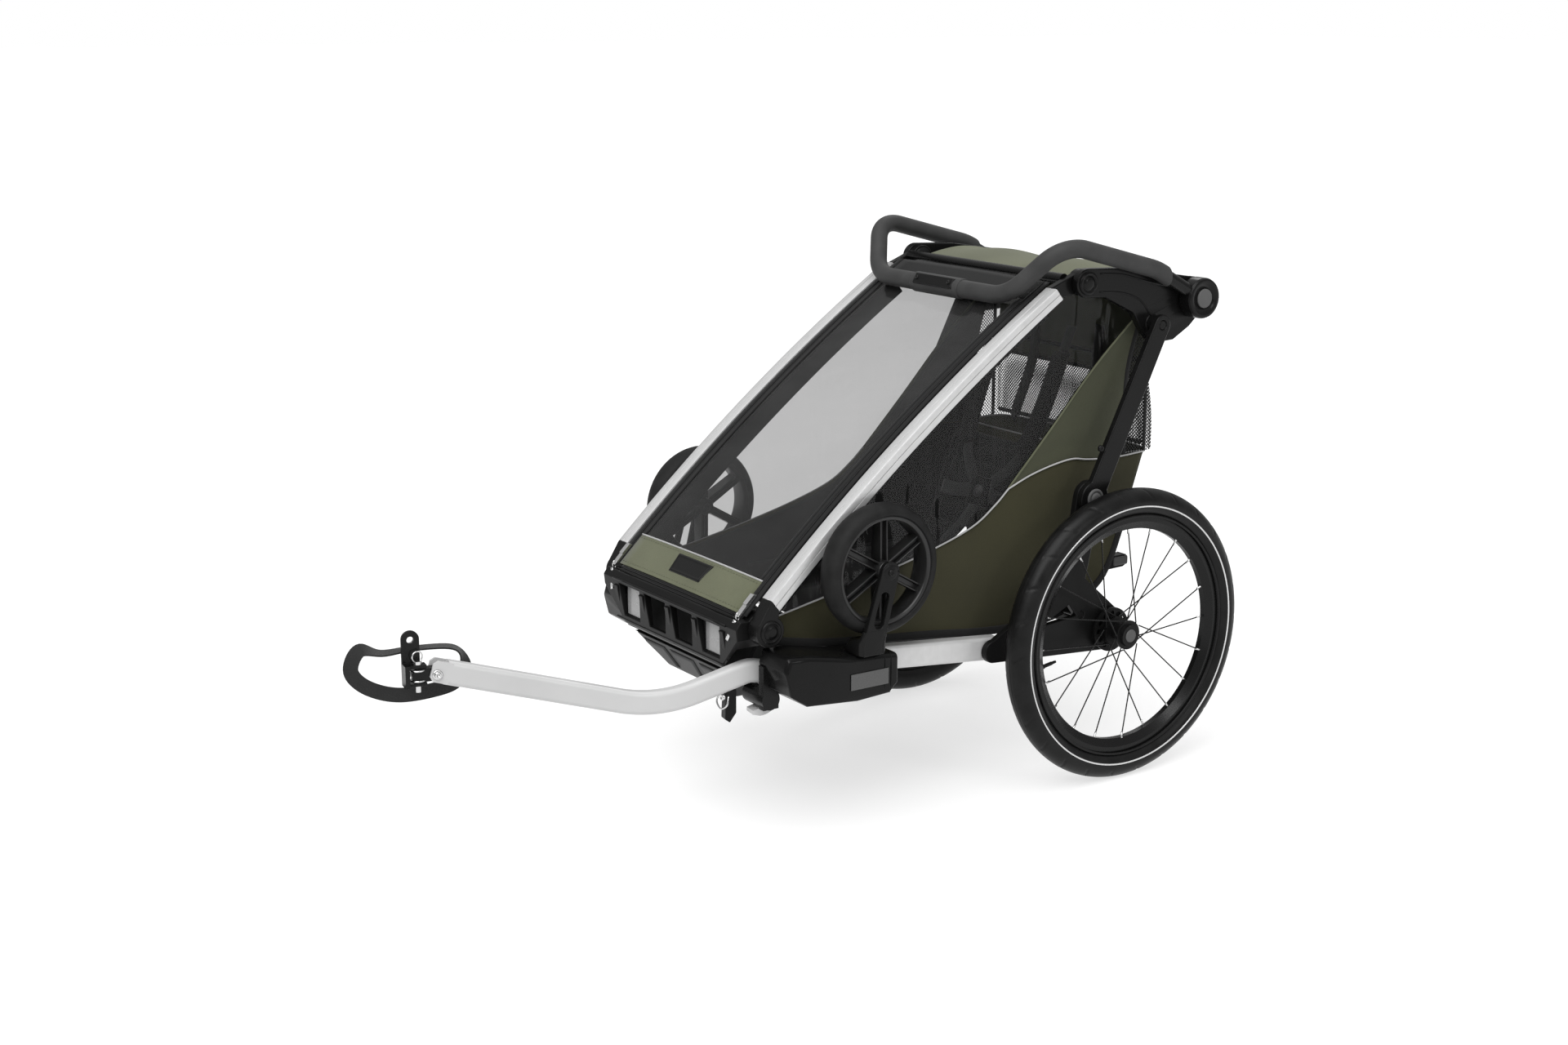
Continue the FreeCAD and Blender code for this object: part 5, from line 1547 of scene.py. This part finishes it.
def housing_details():
    """The seams of each housing's end cap and the bright plates in the bumper's end windows."""
    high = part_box("front_housings")[1]
    seams = []
    for y in (high.y - 0.026, high.y - 0.014):
        seam = [
            Vector((high.x - 0.010, y, 0.2965)), Vector((high.x - 0.0035, y, 0.2935)),
            Vector((high.x + 0.0002, y, 0.285)),
        ]
        seam += [Vector((high.x + 0.0002, y, 0.245)), Vector((high.x - 0.004, y, 0.2315))]
        seams.append(swept("seam", smooth_line(seam, 4), round_section(0.0009, 8), "black_plastic"))
    on_both_sides("housing_seams", joined("seams", seams), BODY_OF["front_housings"], "black_plastic")
    plate = block("plate", at(-0.7062, 0.319, 0.123), (0.050, 0.0012, 0.050), "pale_reflector")
    on_both_sides("bumper_reflector", bevelled(plate, 0.0004), BODY_OF["front_reflectors"], "reflector")


def brake_tip():
    """Ribbed grey tip on the brake lever."""
    tip = at(0.088, 0.3405, 0.171)
    pieces = [block("tip", tip, (0.026, 0.034, 0.017), "grey_plastic")]
    for k in range(4):
        rib = Vector((tip.x, tip.y - 0.012 + 0.008 * k, tip.z + 0.0085))
        pieces.append(block("rib", rib, (0.022, 0.0028, 0.003), "grey_plastic"))
    dress(joined("brake_tip", pieces), BODY_OF["brake_lever"], "grey_plastic")


# ------------------------------------------------------------ wheels

WHEEL_CENTRE = joint_place("left_rear_wheel_spin")
TYRE_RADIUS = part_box("left_tyre")[1].z - WHEEL_CENTRE.z
TYRE_SECTION = (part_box("left_tyre")[1].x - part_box("left_tyre")[0].x) / 2
TYRE_MIDDLE = TYRE_RADIUS - TYRE_SECTION


def ring_profile(section, middle_radius, start, end, sides):
    """Points of a round section from one angle to another, measured from straight outwards."""
    angles = [math.radians(start + (end - start) * k / sides) for k in range(sides + 1)]
    return [(section * math.sin(angle), middle_radius + section * math.cos(angle)) for angle in angles]


def tyre_tread(place, radius, angle):
    """Shallow centre ribs and curved shoulder sipes, pressed into the round section."""
    around = math.degrees(math.atan2(place, radius - TYRE_MIDDLE))
    if abs(around) > 74 or radius < TYRE_MIDDLE:
        return place, radius
    sipes = 26
    slant = 0.0042 * (abs(around) - 40)
    phase = (angle * sipes / (2 * math.pi) + slant + (0.5 if around > 0 else 0.0)) % 1.0
    from_sipe = abs(phase - 0.5) * 2 * math.pi * TYRE_RADIUS / sipes
    reach = min(1.0, max(0.0, (abs(around) - 16) / 6)) * min(1.0, max(0.0, (70 - abs(around)) / 8))
    depth = 0.0014 * reach * max(0.0, 1 - from_sipe / 0.0032)
    groove = 0.0008 * max(0.0, 1 - abs(abs(around) - 9) / 2.5)
    share = 1 - (depth + groove) / TYRE_SECTION
    return place * share, TYRE_MIDDLE + (radius - TYRE_MIDDLE) * share


def big_wheel():
    """Tyre with its tread, its reflective ring and the rubber lips at its beads."""
    profile = ring_profile(TYRE_SECTION, TYRE_MIDDLE, -150, 150, 76)
    tyre = turned("tyre", profile, WHEEL_CENTRE, "tyre", 600, closed=True, shape=tyre_tread)
    tyre_pair = on_both_sides("tyre", tyre, "{side}_rear_wheel", "tyre_rubber")
    for side, piece in zip(("left", "right"), tyre_pair):
        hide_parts(f"{side}_tyre")
    stripe_radius = 0.2225
    face = math.sqrt(TYRE_SECTION**2 - (stripe_radius - TYRE_MIDDLE) ** 2)
    stripe = [(face - 0.001, stripe_radius - 0.0016), (face + 0.0004, stripe_radius - 0.0011)]
    stripe += [(face + 0.0004, stripe_radius + 0.0011), (face - 0.001, stripe_radius + 0.0016)]
    ring = turned("stripe", stripe, WHEEL_CENTRE, "stripe", 240)
    on_both_sides("tyre_stripe", ring, "{side}_rear_wheel", "reflector")
    bead = [(0.0135, 0.2055), (0.0165, 0.2085), (0.0185, 0.2065), (0.0172, 0.2035)]
    lips = [turned("lip", [(way * a, r) for a, r in bead], WHEEL_CENTRE, "tyre", 240) for way in (-1, 1)]
    on_both_sides("tyre_bead", joined("beads", lips), "{side}_rear_wheel", "tyre_rubber")


def wheel_fittings():
    """Plated nipples where the spokes meet the rim, and the valve."""
    nipples = []
    rim_inner = 0.1835
    for number in range(20):
        angle = math.pi * number / 10
        sideways = (0.003 if number % 2 else -0.003) + (0.0014 if number % 4 > 1 else -0.0014)
        out = Vector((0, math.cos(angle), math.sin(angle)))
        place = WHEEL_CENTRE + out * (rim_inner - 0.010) + Vector((sideways, 0, 0))
        profile = [(0, 0), (0, 0.0016), (0.008, 0.0018), (0.010, 0.0024), (0.0105, 0)]
        nipples.append(turned("nipple", profile, place, "steel", 10, out))
    out = Vector((0, math.cos(math.radians(189)), math.sin(math.radians(189))))
    valve = [
        (0, 0), (0, 0.0022), (0.008, 0.0026), (0.009, 0.0032), (0.024, 0.0032), (0.026, 0.0040),
        (0.033, 0.0040), (0.033, 0),
    ]
    nipples.append(
        turned("valve", valve, WHEEL_CENTRE + out * (rim_inner - 0.032), "black_plastic", 16, out)
    )
    on_both_sides("wheel_fittings", joined("fittings", nipples), "{side}_rear_wheel", "steel")


STROLLER_CENTRE = joint_place("left_stroller_wheel_spin")
STROLLER_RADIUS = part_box("left_stroller_tyre")[1].z - STROLLER_CENTRE.z
STROLLER_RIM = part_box("left_stroller_wheel")[1].z - STROLLER_CENTRE.z


def stroller_wheel():
    """Small wheel: a lipped rim, six channel-shaped spokes, a hub and a plain tyre."""
    rim = [
        (-0.0185, STROLLER_RIM), (-0.0200, STROLLER_RIM - 0.002), (-0.0192, STROLLER_RIM - 0.0065),
        (-0.0150, STROLLER_RIM - 0.0085), (0.0150, STROLLER_RIM - 0.0085), (0.0192, STROLLER_RIM - 0.0065),
        (0.0200, STROLLER_RIM - 0.002), (0.0185, STROLLER_RIM),
    ]
    pieces = [turned("rim", rim, STROLLER_CENTRE, "spoke_plastic", 120, closed=True)]
    hub = [
        (-0.021, 0.0052), (-0.021, 0.0125), (-0.017, 0.0150), (0.017, 0.0150), (0.021, 0.0125),
        (0.021, 0.0052),
    ]
    pieces.append(turned("hub", hub, STROLLER_CENTRE, "spoke_plastic", 48, closed=True))
    inner, outer = 0.013, STROLLER_RIM - 0.006
    for number in range(6):
        angle = math.pi * number / 3
        out = Vector((0, math.sin(angle), math.cos(angle)))
        around = Vector((0, math.cos(angle), -math.sin(angle)))
        centre = STROLLER_CENTRE + out * (inner + outer) / 2
        length = outer - inner
        axes = (Vector((1, 0, 0)), around, out)
        pieces.append(block("web", centre, (0.010, 0.011, length), "spoke_plastic", axes, 0.9))
        for way in (-1, 1):
            flange = centre + around * (way * 0.0058)
            pieces.append(block("flange", flange, (0.026, 0.0024, length), "spoke_plastic", axes, 0.86))
    wheels = on_both_sides(
        "stroller_spokes", joined("wheel", pieces), "{side}_stroller_wheel", "grey_plastic"
    )
    section = (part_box("left_stroller_tyre")[1].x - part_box("left_stroller_tyre")[0].x) / 2
    depth = STROLLER_RADIUS - STROLLER_RIM
    tread = []
    for k in range(25):
        angle = math.radians(-90 + 7.5 * k)
        tread.append(
            (
                section * math.sin(angle) * (1 - 0.06 * math.cos(2 * angle)),
                STROLLER_RIM + depth * math.cos(angle) ** 0.8 if k % 24 else STROLLER_RIM,
            )
        )
    tyre = turned(
        "stroller_tyre",
        tread + [(0.017, STROLLER_RIM - 0.001), (-0.017, STROLLER_RIM - 0.001)],
        STROLLER_CENTRE,
        "stroller_tyre",
        160,
        closed=True,
    )
    tyres = on_both_sides("stroller_tyre_ring", tyre, "{side}_stroller_wheel", "tyre_rubber")
    for side, wheel, ring in zip(("left", "right"), wheels, tyres):
        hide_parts(f"{side}_stroller_wheel")
        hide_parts(f"{side}_stroller_tyre")


def lofted(name, rings, material):
    """A closed shape through rings of the same number of points, capped at both ends."""
    sides = len(rings[0])
    points = [point for ring in rings for point in ring]
    faces = [tuple(range(sides)), tuple(range(len(points) - sides, len(points)))]
    for k in range(len(rings) - 1):
        for i in range(sides):
            after = (i + 1) % sides
            faces.append((k * sides + i, k * sides + after, (k + 1) * sides + after, (k + 1) * sides + i))
    piece = mesh_piece(name, points, faces, material)
    repair_normals(piece)
    piece.data.set_sharp_from_angle(angle=math.radians(50))
    return piece


def fork_shoulder():
    """The fork's foot, which flares from the leg to the collar under the small wheel."""
    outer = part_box("left_stroller_fork")[1].x + 0.0005
    stem_y = joint_place("left_stroller_swivel").y
    rings = []
    for z, half_y, inner, lean in (
        (0.340, 0.0220, outer - 0.0095, 0.004), (0.330, 0.0245, outer - 0.0095, 0.001),
        (0.321, 0.0265, 0.2560, 0.0), (0.306, 0.0270, 0.2440, 0.0), (0.3025, 0.0255, 0.2455, 0.0),
    ):
        middle_x, half_x = (outer + inner) / 2, (outer - inner) / 2
        ring = []
        for k in range(32):
            x, y = plan_point(half_x, -half_y, half_y, 2 * math.pi * k / 32, 4.5)
            ring.append(Vector((middle_x + x, stem_y + lean + y, z)))
        rings.append(ring)
    return lofted("shoulder", rings, "satin_plastic")


def fork_details():
    """Raised rim round the fork's window and the wheel bolt's head."""
    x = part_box("left_stroller_fork")[1].x - 0.0012
    upper, lower = at(-0.503, STROLLER_CENTRE.z - 0.038), at(-0.514, STROLLER_CENTRE.z - 0.078)
    run = (upper - lower).normalized()
    side = Vector((0, run.z, -run.y))
    loop = []
    for centre, start in ((upper, 0), (lower, math.pi)):
        for k in range(13):
            angle = start + math.pi * k / 12
            loop.append(centre + side * (0.0105 * math.cos(angle)) + run * (0.0105 * math.sin(angle)))
    loop = [Vector((x, point.y, point.z)) for point in loop]
    pieces = [swept("window_rim", loop, round_section(0.0014, 8), "satin_plastic", closed=True)]
    axle = Vector((x - 0.001, STROLLER_CENTRE.y, STROLLER_CENTRE.z))
    pieces.append(
        turned(
            "boss",
            [(0, 0.0135), (0.0022, 0.0130), (0.0028, 0.0115), (0.0028, 0)],
            axle,
            "satin_plastic",
            40,
        )
    )
    pieces.append(screw("bolt", axle + Vector((0.0024, 0, 0)), (1, 0, 0), 0.0058))
    on_both_sides("fork_trim", joined("fork_trim", pieces), "{side}_stroller_caster", "black_plastic")


# ------------------------------------------------------------ hitch

ARM_YAW = math.radians(9.5)
ARM_ALONG = Vector((math.sin(ARM_YAW), math.cos(ARM_YAW), 0))
ARM_ACROSS = Vector((math.cos(ARM_YAW), -math.sin(ARM_YAW), 0))
PITCH_PIN = joint_place("hitch_pitch")
ARM_TIP = PITCH_PIN + ARM_ALONG * 0.014


def hitch_point(along, across, up=0.0):
    """A point in the drawbar's own directions, measured from its tip."""
    return ARM_TIP + ARM_ALONG * along + ARM_ACROSS * across + Vector((0, 0, up))


def safety_strap():
    """Webbing loop for the bicycle's chainstay: it stands on edge below and lies flat above."""
    places = (
        (0.042, -0.004, 0.6), (0.026, 0.022, 0.1), (-0.030, 0.028, 0.0), (-0.080, 0.026, 0.1),
        (-0.114, 0.034, 0.5), (-0.128, 0.004, 0.8), (-0.104, -0.024, 1.0), (-0.055, -0.041, 1.0),
        (0.010, -0.037, 1.0), (0.034, -0.024, 0.9),
    )
    line = smooth_line([hitch_point(along, -0.041, up) for along, up, _ in places], 9, closed=True)
    edges = smooth_line([Vector((share, 0, 0)) for _, _, share in places], 9, closed=True)
    half_wide, half_thick = 0.011, 0.00125
    points, faces = [], []
    count = len(line)
    for k, place in enumerate(line):
        heading = (line[(k + 1) % count] - line[k - 1]).normalized()
        upright = ARM_ACROSS.cross(heading)
        wide = ARM_ACROSS.lerp(upright, min(1.0, max(0.0, edges[k].x))).normalized()
        thick = wide.cross(heading)
        for a, b in ((-1, -1), (1, -1), (1, 1), (-1, 1)):
            points.append(place + wide * (half_wide * a) + thick * (half_thick * b))
        after = (k + 1) % count
        faces += [
            (4 * k + i, 4 * k + (i + 1) % 4, 4 * after + (i + 1) % 4, 4 * after + i) for i in range(4)
        ]
    band = mesh_piece("band", points, faces, "webbing")
    repair_normals(band)
    band.data.set_sharp_from_angle(angle=math.radians(50))
    ring_centre = hitch_point(0.038, -0.020, -0.021)
    steps = [2 * math.pi * k / 40 for k in range(40)]
    circle = [
        ring_centre + ARM_ACROSS * (0.013 * math.cos(a)) + Vector((0, 0, 0.013 * math.sin(a)))
        for a in steps
    ]
    ring = swept("ring", circle, round_section(0.0022), "steel", closed=True)
    dress(joined("strap_set", [band, ring]), BODY_OF["safety_strap"], "black_webbing", ["safety_strap"])


def hitch_fittings():
    """Screws, washers and pin heads about the coupler and the hook."""
    coupler = []
    for way in (-1, 1):
        side = PITCH_PIN + ARM_ACROSS * (way * 0.0125)
        washer = [(0, 0.004), (0, 0.0075), (0.0014, 0.0075), (0.0014, 0.004)]
        coupler.append(turned("washer", washer, side, "steel", 32, ARM_ACROSS * way, closed=True))
        coupler.append(
            screw("pin_head", side + ARM_ACROSS * (way * 0.0016), ARM_ACROSS * way, 0.0052, "steel")
        )
    for up in (-0.0085, 0.0068):
        place = joint_place("hitch_yaw") + Vector((0, 0, up))
        disc = [(0, 0.0045), (0, 0.0115), (0.0017, 0.0115), (0.0017, 0.0045)]
        coupler.append(turned("collar", disc, place, "steel", 40, (0, 0, 1), closed=True))
    dress(joined("coupler_fittings", coupler), "hitch_coupler", "steel")
    pin_low, pin_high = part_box("hitch_pin")
    top = Vector(((pin_low.x + pin_high.x) / 2, (pin_low.y + pin_high.y) / 2, pin_high.z))
    steps = [2 * math.pi * k / 28 for k in range(28)]
    loop = [top + Vector((0, 0.008 * math.cos(a), 0.006 + 0.008 * math.sin(a))) for a in steps]
    dress(
        swept("pin_ring", loop, round_section(0.0011, 8), "steel", closed=True),
        BODY_OF["hitch_pin"],
        "steel",
    )
    nut_place = hitch_point(-0.0475, -0.0120, 0.051)
    nut = [(0, 0.0053), (0, 0.0105), (0.0022, 0.0100), (0.0026, 0.0080), (0.0026, 0.0053)]
    dress(
        turned("adaptor_boss", nut, nut_place, "steel", 36, -ARM_ACROSS, closed=True),
        "bike_adaptor",
        "steel",
    )


def latch_clip():
    """Wire clip round the latch under the hook."""
    low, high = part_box("hitch_latch")
    middle_x = (low.x + high.x) / 2
    path = [
        Vector((high.x + 0.002, low.y + 0.003, high.z - 0.008)),
        Vector((high.x + 0.004, low.y - 0.002, high.z - 0.022)),
        Vector((middle_x, low.y - 0.004, high.z - 0.030)),
        Vector((low.x - 0.004, low.y - 0.002, high.z - 0.022)),
        Vector((low.x - 0.002, low.y + 0.003, high.z - 0.008)),
    ]
    pieces = [swept("clip", smooth_line(path, 6), round_section(0.0014, 8), "steel")]
    pieces.append(
        screw(
            "latch_screw", Vector((middle_x, low.y + 0.0005, high.z - 0.012)), (0, -1, 0), 0.0055, "steel"
        )
    )
    dress(joined("latch_clip", pieces), BODY_OF["hitch_latch"], "steel")


# ------------------------------------------------------------ camera, floor and light

VIEW_AZIMUTH = math.radians(56.14)
VIEW_DOWN = math.radians(13.57)
CAMERA_PLACE = Vector((2.875, AXLE.y - 2.4225, 1.286))
FOCAL_LENGTH = 49.63


def camera():
    lens = bpy.data.cameras.new("Camera")
    lens.sensor_width = 36
    lens.lens = FOCAL_LENGTH
    made = bpy.data.objects.new("Camera", lens)
    bpy.context.scene.collection.objects.link(made)
    level = math.cos(VIEW_DOWN)
    forward = Vector(
        (-math.sin(VIEW_AZIMUTH) * level, math.cos(VIEW_AZIMUTH) * level, -math.sin(VIEW_DOWN))
    )
    made.location = CAMERA_PLACE
    made.rotation_euler = forward.to_track_quat("-Z", "Y").to_euler()
    bpy.context.scene.camera = made


def floor():
    shader = Shader("pale_floor")
    shade = shader.noise(0.4, 2.0)
    shader.surface(
        Base_Color=shader.ramp(shade, (0.3, 0.34), (0.7, 0.37)), Roughness=0.8, Specular_IOR_Level=0.2
    )
    shader.surface(Emission_Color=(1, 1, 1, 1), Emission_Strength=0.66)
    MATERIALS["floor"] = shader.material
    size = 60
    corners = [(-size, -size, 0), (size, -size, 0), (size, size, 0), (-size, size, 0)]
    mesh_piece("floor", corners, [(0, 1, 2, 3)], "floor", smooth=False)


def area_light(name, place, target, size, power):
    lamp = bpy.data.lights.new(name, "AREA")
    lamp.size = size
    lamp.energy = power
    made = bpy.data.objects.new(name, lamp)
    bpy.context.scene.collection.objects.link(made)
    made.location = place
    made.rotation_euler = (Vector(target) - Vector(place)).to_track_quat("-Z", "Y").to_euler()


def studio_sky():
    """Bright overhead and dim at the horizon, so that dark parts keep their contrast; white to look at."""
    world = bpy.data.worlds.new("studio")
    world.use_nodes = True
    tree = world.node_tree
    background = tree.nodes["Background"]
    place = tree.nodes.new("ShaderNodeTexCoord")
    split = tree.nodes.new("ShaderNodeSeparateXYZ")
    shade = tree.nodes.new("ShaderNodeMapRange")
    rays = tree.nodes.new("ShaderNodeLightPath")
    seen = tree.nodes.new("ShaderNodeMath")
    seen.operation = "MAXIMUM"
    shade.inputs["From Min"].default_value = 0.0
    shade.inputs["From Max"].default_value = 0.9
    shade.inputs["To Min"].default_value = 0.22
    shade.inputs["To Max"].default_value = 0.85
    tree.links.new(place.outputs["Generated"], split.inputs[0])
    tree.links.new(split.outputs["Z"], shade.inputs["Value"])
    tree.links.new(shade.outputs[0], seen.inputs[0])
    tree.links.new(rays.outputs["Is Camera Ray"], seen.inputs[1])
    tree.links.new(seen.outputs[0], background.inputs["Strength"])
    background.inputs["Color"].default_value = (1, 1, 1, 1)
    bpy.context.scene.world = world


def sun_light(direction, strength, softness):
    lamp = bpy.data.lights.new("sun", "SUN")
    lamp.energy = strength
    lamp.angle = softness
    made = bpy.data.objects.new("sun", lamp)
    bpy.context.scene.collection.objects.link(made)
    made.rotation_euler = Vector(direction).to_track_quat("-Z", "Y").to_euler()


def lights():
    studio_sky()
    target = (0, 0.1, 0.4)
    sun_light((-0.35, 0.45, -1.0), 2.3, math.radians(50))
    area_light("key", (2.6, -3.2, 3.2), target, 1.0, 34)
    area_light("side", (4.6, 1.2, 2.2), target, 0.8, 26)
    area_light("back", (-2.6, 3.2, 3.4), target, 1.2, 24)
    bpy.context.scene.view_settings.view_transform = "Standard"


finish_cad()
for node, (material, width) in ROUNDED.items():
    rounded_copy(node, material, width)
pillars()
front_cover()
cover_zips()
cover_seams()
cover_patch()
cover_roll()
zip_pulls()
side_panels()
side_seams()
cabin_lining()
cabin_tub()
footwell_skirts()
seat_base()
seat_back()
harness()
rear_panel()
rear_pocket()
cargo_bag()
canopy()
hinge_caps()
pivot_caps()
link_details()
grip_pad()
bumper_details()
housing_details()
brake_tip()
big_wheel()
wheel_fittings()
stroller_wheel()
on_both_sides("fork_shoulder", fork_shoulder(), "{side}_stroller_caster", "black_plastic")
fork_details()
safety_strap()
hitch_fittings()
latch_clip()
camera()
floor()
lights()
